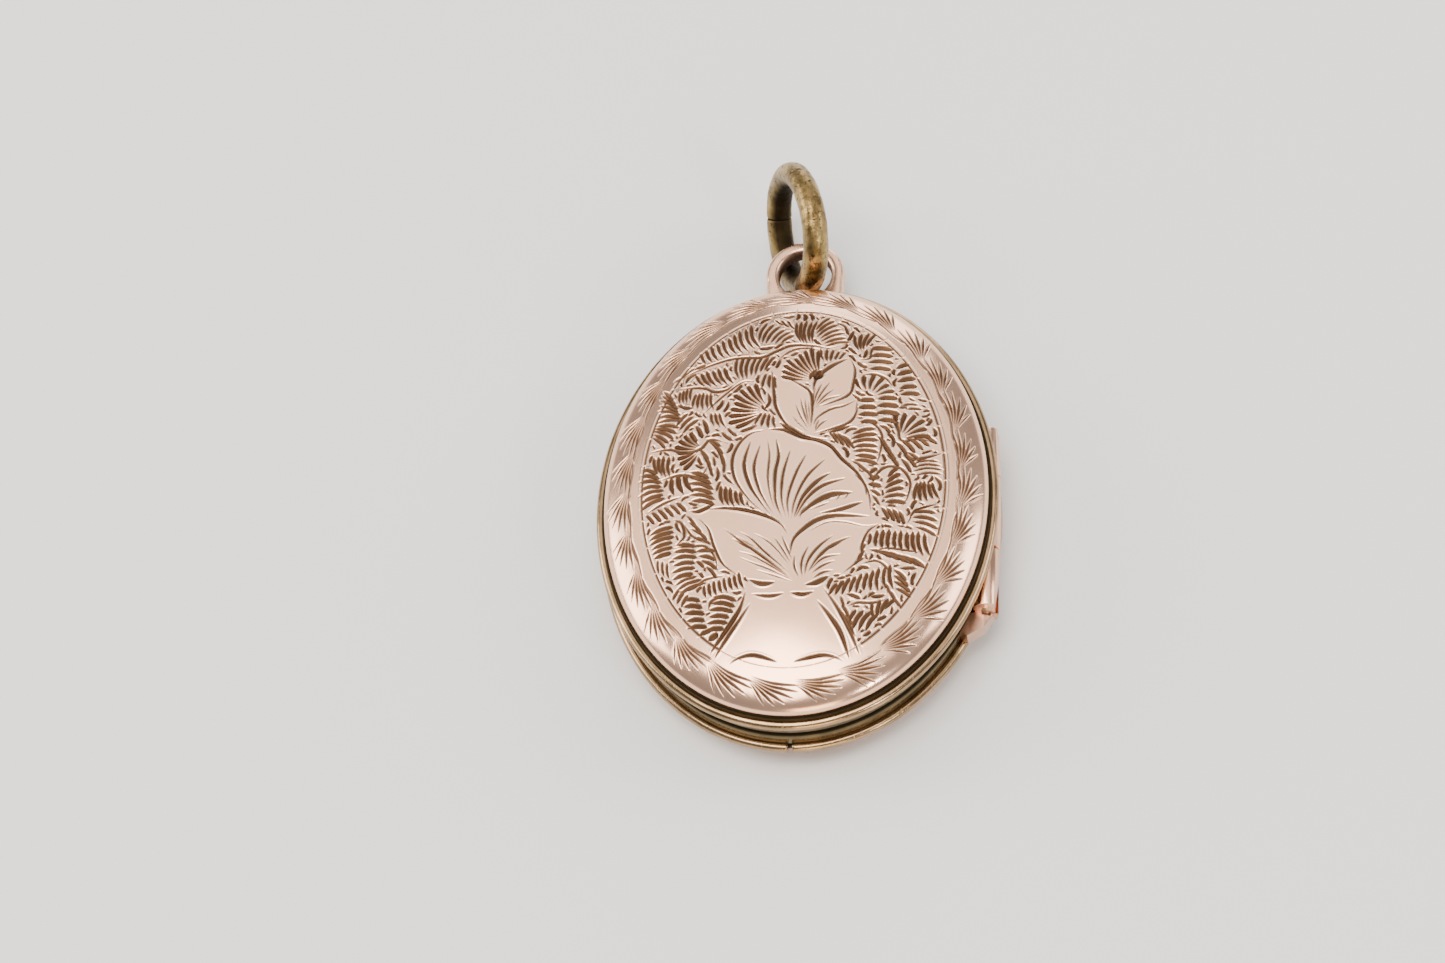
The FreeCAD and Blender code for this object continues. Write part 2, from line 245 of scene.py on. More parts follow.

# %% [markdown]
# Every finished piece is told three things: the body it moves with, the finish it wears,
# and the solid it stands for. An engraved, dirty or shaded piece also carries a number at each
# point, which the metal reads as grime, painted shade or a painted highlight.


# %% Making a piece
def make_piece(name, points, quads, triangles=(), *, body, node, crease=None, rim=None):
    """A closed mesh object from points in mm. It rides on a body and stands for a CAD node.
    crease: the angle in degrees above which an edge is sharp. rim: point numbers whose
    joining edges are sharp, where a fine surface meets a plain wall."""
    points = np.asarray(points, float).reshape(-1, 3)
    quads = np.asarray(quads, int).reshape(-1, 4)
    triangles = np.asarray(triangles, int).reshape(-1, 3)
    if enclosed_volume(points, quads, triangles) < 0:
        quads, triangles = quads[:, ::-1], triangles[:, ::-1]
    mesh = bpy.data.meshes.new(name)
    mesh.from_pydata((points * MM).tolist(), [], quads.tolist() + triangles.tolist())
    mesh.polygons.foreach_set("use_smooth", np.ones(len(mesh.polygons), bool))
    if crease:
        mesh.set_sharp_from_angle(angle=math.radians(crease))
    if rim is not None:
        on_rim = np.zeros(len(points), bool)
        on_rim[rim] = True
        ends = np.zeros(2 * len(mesh.edges), np.int32)
        mesh.edges.foreach_get("vertices", ends)
        sharp = mesh.attributes.new("sharp_edge", "BOOLEAN", "EDGE")
        sharp.data.foreach_set("value", on_rim[ends.reshape(-1, 2)].all(1))
    piece = bpy.data.objects.new(name, mesh)
    bpy.context.scene.collection.objects.link(piece)
    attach(piece, body)
    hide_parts(node)
    print(name, len(quads) * 2 + len(triangles), "triangles")
    return piece


def paint_grime_shade_sheen(piece, values):
    """Stores the point attribute `cut`: one where grime and painted shade lie, zero on the plain
    face, minus one on a crest with a painted highlight and wear polish. Points past the end of the
    given values get zero."""
    all_values = np.zeros(len(piece.data.vertices), np.float32)
    values = np.asarray(values, np.float32).ravel()
    all_values[:len(values)] = values
    piece.data.attributes.new("cut", "FLOAT", "POINT").data.foreach_set("value", all_values)


# %% [markdown]
# ## The metal's surface, as node groups
# Old gold is never one flat colour. Three groups are shared by all the metals: a slow
# cloudiness of tone, hair-fine scratches that lie in three directions, and grime that
# settles where the metal is low. Each gives only colours, masks or heights, and each
# metal places them with its own values.

# %% Node group helpers
FLOAT, COLOR = "NodeSocketFloat", "NodeSocketColor"
MIX_FIRST, MIX_SECOND, MIX_RESULT = 6, 7, 2


def new_group(name, inputs, outputs):
    """An empty shader group. inputs: (name, kind, default); outputs: (name, kind)."""
    group = bpy.data.node_groups.new(name, "ShaderNodeTree")
    for label, kind, default in inputs:
        socket = group.interface.new_socket(label, in_out="INPUT", socket_type=kind)
        socket.default_value = default
    for label, kind in outputs:
        group.interface.new_socket(label, in_out="OUTPUT", socket_type=kind)
    return group, group.nodes.new("NodeGroupInput"), group.nodes.new("NodeGroupOutput")


def feed(tree, node, values):
    """Fills a node's inputs from (socket, value) pairs. A value that is an output of
    another node is joined to the socket; any other value is written into it."""
    for socket, value in values:
        if isinstance(value, bpy.types.NodeSocket):
            tree.links.new(value, node.inputs[socket])
        else:
            node.inputs[socket].default_value = value


def add(tree, kind, values=(), **settings):
    """A new node with some attributes set, then fed with (socket, value) pairs."""
    node = tree.nodes.new(kind)
    for key, value in settings.items():
        setattr(node, key, value)
    feed(tree, node, values)
    return node


def reckon(tree, operation, *values, clamp=False):
    """The result of one sum on numbers or on outputs of other nodes."""
    node = add(tree, "ShaderNodeMath", enumerate(values), operation=operation, use_clamp=clamp)
    return node.outputs[0]


def mix_colors(tree, factor, first, second):
    """The colour that lies between first and second at the given factor."""
    node = add(tree, "ShaderNodeMix", [
        ("Factor", factor), (MIX_FIRST, first), (MIX_SECOND, second)], data_type="RGBA")
    return node.outputs[MIX_RESULT]


def millimetres(tree):
    """Object coordinates counted in millimetres."""
    place_on_object = tree.nodes.new("ShaderNodeTexCoord").outputs["Object"]
    scaled = add(tree, "ShaderNodeVectorMath", [(0, place_on_object), ("Scale", 1 / MM)],
                 operation="SCALE")
    return scaled.outputs[0]


print("helpers ready")

# %% [markdown]
# The first group is the tone: a soft noise, pulled apart by a contrast, mixes two colours.

# %% Group one: cloudy tone
tone, tone_in, tone_out = new_group(
    "cloudy tone",
    [("Color A", COLOR, (1, 1, 1, 1)), ("Color B", COLOR, (0.5, 0.5, 0.5, 1)),
     ("Patch size mm", FLOAT, 2.0), ("Contrast", FLOAT, 1.0)],
    [("Color", COLOR), ("Mask", FLOAT)])
per_mm = reckon(tone, "DIVIDE", 1.0, tone_in.outputs["Patch size mm"])
cloud = add(tone, "ShaderNodeTexNoise", [
    ("Vector", millimetres(tone)), ("Scale", per_mm), ("Detail", 5.0), ("Roughness", 0.6)])
centred = reckon(tone, "SUBTRACT", cloud.outputs["Fac"], 0.5)
spread = reckon(tone, "MULTIPLY_ADD", centred, tone_in.outputs["Contrast"], 0.5, clamp=True)
mixed = mix_colors(tone, spread, tone_in.outputs["Color A"], tone_in.outputs["Color B"])
feed(tone, tone_out, [("Color", mixed), ("Mask", spread)])
print("group:", tone.name)

# %% [markdown]
# A scratch is a noise squeezed hard along one direction, so that its blobs become
# hairs. Three such noises at different headings, each kept only where it is high, give
# the crossed hairlines of a thing carried in a pocket for a century.

# %% Group two: hairline scratches
HAIR_FROM, HAIR_TO = 0.60, 0.72
hairs, hairs_in, hairs_out = new_group(
    "hairlines", [("Amount", FLOAT, 0.5)], [("Mask", FLOAT), ("Height", FLOAT)])
where = millimetres(hairs)
masks = []
for heading, stretch in ((0.5, 9.0), (2.2, 7.0), (1.25, 12.0)):
    squeezed = add(hairs, "ShaderNodeMapping", [
        ("Vector", where), ("Rotation", (0, 0, heading)), ("Scale", (stretch, 0.15, 1.0))])
    noise = add(hairs, "ShaderNodeTexNoise", [
        ("Vector", squeezed.outputs[0]), ("Scale", 1.0), ("Detail", 2.0)])
    thin = add(hairs, "ShaderNodeMapRange", [
        ("Value", noise.outputs["Fac"]), ("From Min", HAIR_FROM), ("From Max", HAIR_TO)])
    masks.append(thin.outputs["Result"])
all_hairs = reckon(hairs, "MAXIMUM", reckon(hairs, "MAXIMUM", masks[0], masks[1]), masks[2])
weighed = reckon(hairs, "MULTIPLY", all_hairs, hairs_in.outputs["Amount"])
feed(hairs, hairs_out, [("Mask", weighed), ("Height", reckon(hairs, "MULTIPLY", weighed, -1.0))])
print("group:", hairs.name)

# %% [markdown]
# Grime sits in what is cut or sunk, and shade is painted dark in crevices and on inner sides; what
# stands up is painted paler, as wear polish and a painted highlight. The pieces carry a point
# attribute called `cut`: one in a groove or where shade is painted, zero on the plain face and
# minus one on a crest with a painted highlight. Small dark specks are added with a noise.

# %% Group three: grime, painted shade and painted highlight
SPECK_EDGE = 0.12
grime_shade_sheen, grime_shade_sheen_in, grime_shade_sheen_out = new_group(
    "grime_shade_sheen",
    [("Color", COLOR, (1, 1, 1, 1)), ("Grime", COLOR, (0.1, 0.06, 0.04, 1)),
     ("Crest sheen", COLOR, (1, 1, 1, 1)), ("Grime shade sheen", FLOAT, 0.0), ("Specks", FLOAT, 0.3),
     ("Speck size mm", FLOAT, 0.5), ("Rarity", FLOAT, 0.66)],
    [("Color", COLOR), ("Mask", FLOAT)])
per_mm = reckon(grime_shade_sheen, "DIVIDE", 1.0, grime_shade_sheen_in.outputs["Speck size mm"])
dots = add(grime_shade_sheen, "ShaderNodeTexNoise", [
    ("Vector", millimetres(grime_shade_sheen)), ("Scale", per_mm), ("Detail", 3.0), ("Roughness", 0.7)])
above = reckon(grime_shade_sheen, "SUBTRACT", dots.outputs["Fac"], grime_shade_sheen_in.outputs["Rarity"])
rare = add(grime_shade_sheen, "ShaderNodeMapRange", [
    ("Value", above), ("From Min", 0.0), ("From Max", SPECK_EDGE)])
speck = reckon(grime_shade_sheen, "MULTIPLY", rare.outputs["Result"], grime_shade_sheen_in.outputs["Specks"])
total = reckon(grime_shade_sheen, "MAXIMUM", grime_shade_sheen_in.outputs["Grime shade sheen"], speck, clamp=True)
# Below zero the cut value paints a paler crest, wear polish and a painted highlight; above zero it
# paints grime and painted shade.
crest_sheen = reckon(grime_shade_sheen, "MULTIPLY", grime_shade_sheen_in.outputs["Grime shade sheen"], -1.0, clamp=True)
with_sheen = mix_colors(grime_shade_sheen, crest_sheen, grime_shade_sheen_in.outputs["Color"], grime_shade_sheen_in.outputs["Crest sheen"])
stained = mix_colors(grime_shade_sheen, total, with_sheen, grime_shade_sheen_in.outputs["Grime"])
feed(grime_shade_sheen, grime_shade_sheen_out, [("Color", stained), ("Mask", total)])
print("group:", grime_shade_sheen.name)

# %% [markdown]
# A metal is put together from the three groups: tone, then grime with painted shade and painted
# highlight into Base Color; the scratches, the grime and the painted shade raise the roughness;
# scratches and a fine ripple go through a
# Bump node into Normal.

# %% How a metal is made
# A crest is painted paler than the face beside it, as wear polish and a painted highlight, by these
# factors on red, green and blue.
CREST_SHEEN_GAIN = (1.04, 1.22, 1.36)
# How much rougher a scratch, grime or painted shade makes the metal.
DULLING = 0.35
BUMP_STRENGTH, BUMP_DEPTH = 0.35, 0.02


def gold(name, bright, deep, dirt_and_shade, patch=2.0, contrast=1.6, specks=0.3, speck_size=0.5,
         rarity=0.66, roughness=0.22, scratches=0.5, ripple=0.0, ripple_size=0.4, uses_cut=False):
    """A worn gold: bright and deep are the two tones, dirt_and_shade the colour of the grime and
    painted shade in it.
    """
    paint, tree, shader = new_paint(name)
    shader.inputs["Metallic"].default_value = 1.0
    clouds = add(tree, "ShaderNodeGroup", [
        ("Color A", (*bright, 1)), ("Color B", (*deep, 1)), ("Patch size mm", patch),
        ("Contrast", contrast)], node_tree=tone)
    sheen_color = [min(1.0, part * gain) for part, gain in zip(bright, CREST_SHEEN_GAIN)]
    soil_shade_sheen = add(tree, "ShaderNodeGroup", [
        ("Color", clouds.outputs["Color"]), ("Grime", (*dirt_and_shade, 1)), ("Crest sheen", (*sheen_color, 1)),
        ("Specks", specks), ("Speck size mm", speck_size), ("Rarity", rarity)], node_tree=grime_shade_sheen)
    if uses_cut:
        cut_mask = add(tree, "ShaderNodeAttribute", attribute_name="cut")
        feed(tree, soil_shade_sheen, [("Grime shade sheen", cut_mask.outputs["Fac"])])
    lines = add(tree, "ShaderNodeGroup", [("Amount", scratches)], node_tree=hairs)
    dull = reckon(tree, "MAXIMUM", lines.outputs["Mask"], soil_shade_sheen.outputs["Mask"])
    rough = add(tree, "ShaderNodeMapRange", [
        ("Value", dull), ("To Min", roughness), ("To Max", min(1.0, roughness + DULLING))])
    height = lines.outputs["Height"]
    if ripple:
        waves = add(tree, "ShaderNodeTexNoise", [
            ("Vector", millimetres(tree)), ("Scale", 1 / ripple_size), ("Detail", 3.0)])
        raised = reckon(tree, "MULTIPLY", waves.outputs["Fac"], ripple)
        height = reckon(tree, "ADD", height, raised)
    bump = add(tree, "ShaderNodeBump", [
        ("Height", height), ("Strength", BUMP_STRENGTH), ("Distance", BUMP_DEPTH * MM)])
    feed(tree, shader, [("Base Color", soil_shade_sheen.outputs["Color"]),
                        ("Roughness", rough.outputs["Result"]),
                        ("Normal", bump.outputs["Normal"])])
    return paint


def coat(piece, paint):
    """Makes paint the only material of a piece."""
    piece.data.materials.clear()
    piece.data.materials.append(paint)
    return piece


print("groups that a metal draws on:", [group.name for group in bpy.data.node_groups])

# %% [markdown]
# Nine metals cover the locket. The rose gold of the covers is the brightest; the bands,
# the wires and the ring are a yellower gold gone olive and brown with age, and the bands and wires
# are darker still, a painted reflection of dark surroundings; the gilt inside has hardly been
# touched.

# %% The nine metals
cover_gold = gold("rose gold, engraved", (1.0, 0.62, 0.42), (0.91, 0.53, 0.35),
                  (0.100, 0.052, 0.028), patch=4.0, specks=0.04, speck_size=0.9,
                  roughness=0.20, scratches=0.05, ripple=0.05, uses_cut=True)
plain_gold = gold("rose gold, polished", (0.92, 0.56, 0.39), (0.74, 0.42, 0.28),
                  (0.16, 0.08, 0.045), patch=2.5, specks=0.25, roughness=0.20, scratches=0.4,
                  ripple=0.5)
seat_gold = gold("rose gold, dull", (0.76, 0.50, 0.38), (0.46, 0.28, 0.20),
                 (0.07, 0.035, 0.03), patch=0.9, specks=0.4, roughness=0.30, scratches=0.4,
                 ripple=0.8)
# The bands' and wires' dark olive base is partly age and partly a painted reflection of the dark
# surroundings their upright sides mirror.
rim_gold = gold("band gold, aged and painted dark", (0.25, 0.18, 0.09), (0.085, 0.066, 0.032),
                (0.012, 0.009, 0.005), patch=1.6, contrast=2.0, specks=0.35, speck_size=0.8,
                roughness=0.22, scratches=0.25, ripple=0.3, uses_cut=True)
wire_gold = gold("wire gold", (0.52, 0.33, 0.19), (0.21, 0.145, 0.07),
                 (0.014, 0.010, 0.005), patch=1.8, contrast=2.0, specks=0.35, speck_size=0.7,
                 roughness=0.20, scratches=0.25, ripple=0.4, uses_cut=True)
ring_gold = gold("ring gold, worn", (0.42, 0.29, 0.115), (0.12, 0.078, 0.030),
                 (0.010, 0.007, 0.004), patch=1.0, contrast=3.4, specks=0.9, speck_size=0.2,
                 rarity=0.55, roughness=0.30, scratches=0.4, ripple=3.0, ripple_size=0.12,
                 uses_cut=True)
eye_gold = gold("rose gold, bail eye", (0.97, 0.61, 0.42), (0.80, 0.47, 0.31),
                (0.040, 0.020, 0.011), patch=0.9, contrast=1.8, specks=0.45, speck_size=0.3,
                roughness=0.26, scratches=0.4, ripple=1.0, ripple_size=0.3, uses_cut=True)
inner_gold = gold("bright gilt", (0.93, 0.70, 0.38), (0.84, 0.58, 0.28),
                  (0.25, 0.15, 0.07), patch=2.0, specks=0.2, roughness=0.16, scratches=0.5,
                  ripple=0.4)
pin_gold = gold("pin, dull", (0.60, 0.46, 0.30), (0.42, 0.31, 0.19),
                (0.12, 0.08, 0.05), patch=0.6, specks=0.5, roughness=0.38, scratches=0.4)
print("metals:", [m.name for m in bpy.data.materials])

# %% [markdown]
# ## The engraver's drawing
# The front cover is cut by hand with a graver, a small steel wedge pushed through the
# metal. Every mark is a V-shaped groove that begins as a point, swells and ends blunt,
# with a thread of raised metal beside it. So the drawing is kept as a list of such
# strokes in plan view, in millimetres from the middle of the locket: X to the hinge,
# Y to the eye. They are cut into a fine height table first, and the cover's grid reads
# its heights from that table.

# %% The height table
CELL = 0.02
TABLE_X, TABLE_Y = 10.0, 12.8
table_x = np.arange(-TABLE_X, TABLE_X + CELL, CELL)
table_y = np.arange(-TABLE_Y, TABLE_Y + CELL, CELL)
depth_table = np.zeros((len(table_y), len(table_x)))
burr_table = np.zeros_like(depth_table)
# The burr's height as a share of the half width, how far beside the groove its top stands,
# and how wide it is. Each groove is worked out this much further than its own width.
BURR_SHARE, BURR_BESIDE, BURR_WIDTH = 0.10, 0.02, 0.05
GROOVE_ROOM = 0.08


def smooth_path(points, steps=10):
    """Catmull-Rom curve: each stretch is the cubic that leaves and arrives along the
    line between the neighbours on either side."""
    p = np.asarray(points, float)
    if len(p) == 2:
        return p[0] + (p[1] - p[0]) * np.linspace(0, 1, steps)[:, None]
    p = np.vstack([2 * p[0] - p[1], p, 2 * p[-1] - p[-2]])
    t = np.linspace(0, 1, steps, endpoint=False)[None, :, None]
    a, b, c, d = (p[k:len(p) - 3 + k, None, :] for k in range(4))
    curve = 0.5 * (2 * b + (c - a) * t + (2 * a - 5 * b + 4 * c - d) * t ** 2
                   + (3 * b - 3 * c + d - a) * t ** 3)
    return np.vstack([curve.reshape(-1, 2), p[-2]])


def groove(points, width, swell=0.65, blunt=0.12, steepness=0.85, lean=0.3, burr=1.0, growth=0.6):
    """One graver stroke. Its half width grows from nothing, as the power `growth` of the
    share run, up to the share `swell` of its length, and closes again over the last
    `blunt`. Across it the depth is a V whose bottom is moved to one side by `lean`; beside
    it stands a low burr."""
    path = smooth_path(points)
    room = width + GROOVE_ROOM
    x0, x1 = np.searchsorted(table_x, [path[:, 0].min() - room, path[:, 0].max() + room])
    y0, y1 = np.searchsorted(table_y, [path[:, 1].min() - room, path[:, 1].max() + room])
    if x1 <= x0 or y1 <= y0:
        return
    px, py = np.meshgrid(table_x[x0:x1], table_y[y0:y1])
    start, step = path[:-1], np.diff(path, axis=0)
    length = np.maximum(np.hypot(step[:, 0], step[:, 1]), 1e-6)
    before = np.concatenate([[0], np.cumsum(length)[:-1]])
    dx, dy = px[..., None] - start[:, 0], py[..., None] - start[:, 1]
    along = np.clip((dx * step[:, 0] + dy * step[:, 1]) / length ** 2, 0, 1)
    ox, oy = dx - along * step[:, 0], dy - along * step[:, 1]
    away = np.hypot(ox, oy)
    nearest = away.argmin(-1)[..., None]
    distance = np.take_along_axis(away, nearest, -1)[..., 0]
    share = np.take_along_axis((before + along * length) / length.sum(), nearest, -1)[..., 0]
    side = np.sign(np.take_along_axis(ox * step[:, 1] - oy * step[:, 0], nearest, -1)[..., 0])
    grown = np.minimum((share / swell) ** growth, 1)
    half = np.maximum(width / 2 * grown * np.clip((1 - share) / blunt, 0.0, 1) ** 0.5, 1e-4)
    across = np.clip(side * distance / half, -1, 1)
    wedge = np.where(across > lean, (1 - across) / (1 - lean), (1 + across) / (1 + lean))
    cut = np.where(distance < half, half * steepness * wedge, 0)
    part = (slice(y0, y1), slice(x0, x1))
    depth_table[part] = np.maximum(depth_table[part], cut)
    lip = BURR_SHARE * half * np.exp(-((distance - half - BURR_BESIDE) / BURR_WIDTH) ** 2) * burr
    burr_table[part] = np.maximum(burr_table[part], np.where(share < 0.999, lip, 0))


print("height table:", depth_table.shape, "cells of", CELL, "mm")

# %% [markdown]
# Short cuts come in rows and in fans. No two neighbours are quite alike, so their widths
# and lengths hop about a little from one to the next.

# %% Rows and fans
# A cut in a row takes this share of the distance to the next, up to the widest cut. The
# cuts of a fan bow to one side.
PITCH_SHARE, WIDEST = 0.78, 0.36
SHELL_BOW = 0.06
# The strokes of the filled ground: short, fat near the start and blunt at the end.
SHORT_CUT = {"swell": 0.35, "blunt": 0.18, "steepness": 0.8, "growth": 0.5}


def cut_all(strokes, wider, **shape):
    """Cuts a list of strokes, each a line and its width, all made wider by one factor."""
    for line, width in strokes:
        groove(line, wider * width, **shape)


def uneven(number, step, period, low, span):
    """A hand's unevenness: from low up to low plus span, hopping about with the number."""
    return low + span * ((number * step) % period) / (period - 1)


def ladder(start, end, count, heading, length, width, bow=0.12):
    """A row of short cuts. Their middles lie on the line from start to end, and their
    heading (degrees from +X) and length go evenly from the first value to the second.
    A cut is as wide as the distance to the next one lets it be."""
    mix = np.linspace(0, 1, count)
    run = np.subtract(end, start) / max(count - 1, 1)
    for k, m in enumerate(mix):
        angle = math.radians(heading[0] + (heading[1] - heading[0]) * m)
        pitch = abs(run[0] * math.sin(angle) - run[1] * math.cos(angle))
        wide = min(max(1.2 * width, PITCH_SHARE * pitch), WIDEST) * uneven(k, 3, 4, 0.97, 0.10)
        long = (length[0] + (length[1] - length[0]) * m) * uneven(k, 7, 5, 1.10, 0.20)
        cx = start[0] + (end[0] - start[0]) * m
        cy = start[1] + (end[1] - start[1]) * m
        ux, uy = math.cos(angle) * long / 2, math.sin(angle) * long / 2
        side = bow * long
        groove([(cx - ux, cy - uy), (cx - uy * side, cy + ux * side), (cx + ux, cy + uy)],
               wide, **SHORT_CUT)


def shell(centre, inner, outer, heading, count, width):
    """A fan of cuts round a centre, pointed at the centre and blunt outside."""
    for k, angle in enumerate(np.radians(np.linspace(heading[0], heading[1], count))):
        far = outer * uneven(k, 5, 4, 0.94, 0.12)
        c, s = math.cos(angle), math.sin(angle)
        middle = (inner + far) / 2
        line = [(centre[0] + inner * c, centre[1] + inner * s),
                (centre[0] + middle * c - SHELL_BOW * s, centre[1] + middle * s + SHELL_BOW * c),
                (centre[0] + far * c, centre[1] + far * s)]
        groove(line, width * 1.3, swell=0.7, blunt=0.10, steepness=0.8)


print("a row's cut takes", PITCH_SHARE, "of its pitch, at most", WIDEST, "mm")

# %% [markdown]
# The motifs come first: a footed vase at the bottom, two broad leaves rising from it, a
# big fan-shaped flower between them and a three-petalled bud on top.

# %% The vase
VASE_CUTS = (
    # the line of each cut and its width
    ([(-1.9, -6.35), (-1.0, -6.5), (-0.3, -6.38)], 0.20),
    ([(1.2, -6.35), (0.6, -6.5), (0.0, -6.38)], 0.22),
    ([(-2.1, -5.5), (-1.4, -5.8), (-0.75, -5.75)], 0.26),
    ([(0.7, -5.98), (1.3, -5.85), (1.9, -5.5)], 0.28),
    ([(-1.9, -6.8), (-2.4, -7.6), (-3.0, -8.5), (-3.7, -9.6)], 0.20),
    ([(-2.15, -6.1), (-2.5, -7.2), (-3.1, -8.2), (-3.9, -9.3)], 0.27),
    ([(1.3, -6.8), (1.9, -7.6), (2.5, -8.6), (2.9, -9.9)], 0.24),
    ([(1.6, -6.1), (2.3, -7.2), (2.9, -8.4), (3.4, -9.7)], 0.20),
    ([(-3.0, -9.92), (-2.4, -9.66), (-1.7, -9.62), (-0.6, -10.02)], 0.20),
    ([(2.6, -10.0), (2.0, -9.8), (1.4, -9.78), (0.2, -10.05)], 0.20),
)
cut_all(VASE_CUTS, 1.2, swell=0.45, blunt=0.35)
print("vase cut, deepest so far", round(depth_table.max(), 3), "mm")

# %% [markdown]
# The leaves spread to both sides of the vase's mouth. Each has an outline, cut deeper on
# its upper side, and a spray of veins that run out from the stem.

# %% The two leaves
LEAF_CUTS = (
    ([(-0.15, -3.1), (-0.5, -2.5), (-1.2, -2.0), (-2.2, -1.6), (-3.2, -1.4), (-4.2, -1.35)], 0.20),
    ([(-2.4, -5.4), (-3.3, -4.6), (-3.8, -3.5), (-4.1, -2.5), (-4.7, -1.75)], 0.15),
    ([(-0.05, -4.3), (0.1, -3.4), (0.6, -2.8), (1.3, -2.3), (2.2, -2.1), (3.9, -2.2)], 0.22),
    ([(2.5, -5.4), (3.1, -4.9), (3.45, -4.4), (3.5, -3.7), (3.8, -3.0), (4.4, -2.55)], 0.15),
    ([(4.5, -2.6), (3.6, -2.75), (2.6, -2.5), (1.7, -2.5), (0.8, -3.0)], 0.09),
    ([(0.0, -5.5), (-1.2, -4.45), (-2.4, -3.4), (-3.4, -2.5)], 0.15),
    ([(-0.1, -5.2), (-1.2, -4.1), (-1.9, -3.3), (-2.6, -2.75)], 0.13),
    ([(0.0, -4.9), (-0.7, -3.9), (-1.3, -3.3), (-1.9, -2.9)], 0.10),
    ([(0.05, -4.8), (-0.4, -3.9), (-0.9, -3.1)], 0.10),
    ([(0.1, -4.6), (-0.2, -3.8), (-0.5, -3.0)], 0.10),
    ([(0.05, -5.6), (-1.0, -4.8), (-1.9, -4.2), (-2.6, -3.9)], 0.11),
    ([(0.15, -5.7), (-0.9, -5.1), (-1.9, -4.6), (-2.6, -4.2)], 0.10),
    ([(0.2, -5.8), (-0.8, -5.4), (-1.7, -5.0)], 0.09),
    ([(-1.7, -4.0), (-2.3, -3.6), (-2.9, -3.15)], 0.11),
    ([(-1.5, -3.9), (-2.2, -3.4), (-2.7, -3.0)], 0.08),
    ([(0.45, -5.6), (0.2, -4.9), (0.2, -4.2)], 0.11),
    ([(0.6, -5.6), (0.55, -4.6), (0.9, -3.7)], 0.12),
    ([(0.7, -5.5), (0.85, -4.6), (1.4, -3.8), (2.1, -3.2)], 0.14),
    ([(0.85, -5.3), (1.3, -4.5), (2.0, -3.8), (2.95, -3.3)], 0.16),
    ([(1.0, -5.1), (1.6, -4.5), (2.5, -4.3)], 0.11),
    ([(1.0, -5.35), (1.6, -4.9), (2.2, -4.65)], 0.11),
    ([(1.1, -5.6), (1.6, -5.3), (2.1, -5.2)], 0.12),
    ([(1.5, -4.1), (1.9, -3.95), (2.5, -3.6)], 0.09),
)
cut_all(LEAF_CUTS, 1.35, swell=0.4, blunt=0.4)
print(len(LEAF_CUTS), "leaf cuts")

# %% [markdown]
# The flower is a fan: two long outlines, and between them folds that open from the stem.

# %% The fan-shaped flower
FLOWER_CUTS = (
    ([(-1.1, -2.0), (-2.0, -1.1), (-2.8, 0.2), (-3.0, 1.4), (-2.7, 2.3), (-2.1, 2.9),
      (-1.4, 3.05)], 0.16),
    ([(3.9, -2.1), (3.8, -0.9), (3.3, 0.2), (2.5, 1.1), (1.9, 1.9), (1.2, 2.3), (0.4, 2.5),
      (-0.6, 2.95)], 0.20),
    ([(-0.9, -2.1), (-1.5, -1.2), (-2.1, -0.1), (-2.4, 1.2), (-2.1, 2.5)], 0.18),
    ([(-0.8, -2.0), (-1.2, -1.3), (-1.65, -0.3), (-1.9, 1.0), (-1.6, 2.3)], 0.15),
    ([(-0.7, -1.9), (-1.0, -1.0), (-1.2, 0.3), (-1.15, 1.7), (-1.3, 2.6)], 0.11),
    ([(-0.5, -2.0), (-0.8, -0.9), (-0.85, 0.5), (-0.7, 1.6), (-0.85, 2.6)], 0.17),
    ([(-0.25, -2.2), (-0.5, -0.9), (-0.45, 0.5), (-0.1, 1.9)], 0.14),
    ([(-0.1, -2.3), (-0.2, -1.0), (0.15, 0.4), (0.7, 1.6)], 0.14),
    ([(0.0, -2.3), (0.15, -1.1), (0.7, 0.2), (1.65, 1.25)], 0.14),
    ([(0.1, -2.2), (0.5, -1.0), (1.2, -0.1), (1.9, 0.4)], 0.20),
    ([(0.15, -2.2), (0.7, -1.1), (1.5, -0.35), (2.65, 0.05)], 0.17),
    ([(0.3, -2.1), (1.0, -1.4), (1.9, -0.9), (3.0, -0.8)], 0.26),
    ([(1.3, -1.95), (2.4, -1.75), (3.5, -1.35)], 0.20),
    ([(3.7, -1.1), (3.6, -0.35), (3.1, 0.25)], 0.14),
    ([(0.8, -1.75), (1.3, -1.55), (1.9, -1.3)], 0.08),
    ([(1.4, -1.4), (1.5, -1.2), (1.9, -1.1)], 0.07),
    ([(2.1, -1.3), (2.3, -1.05), (2.4, -0.8)], 0.06),
    ([(2.5, -1.2), (2.7, -1.0), (2.8, -0.75)], 0.06),
    ([(0.4, -2.3), (0.5, -1.8), (0.8, -1.4)], 0.08),
    ([(-0.35, -2.3), (-0.7, -1.5), (-0.95, -0.6)], 0.08),
)
cut_all(FLOWER_CUTS, 1.35, swell=0.5, blunt=0.3)
print(len(FLOWER_CUTS), "flower cuts")

# %% [markdown]
# The bud has three petals with a few veins each. Its last two cuts are wide and deep, and
# hold the dark spot between the upper petals.

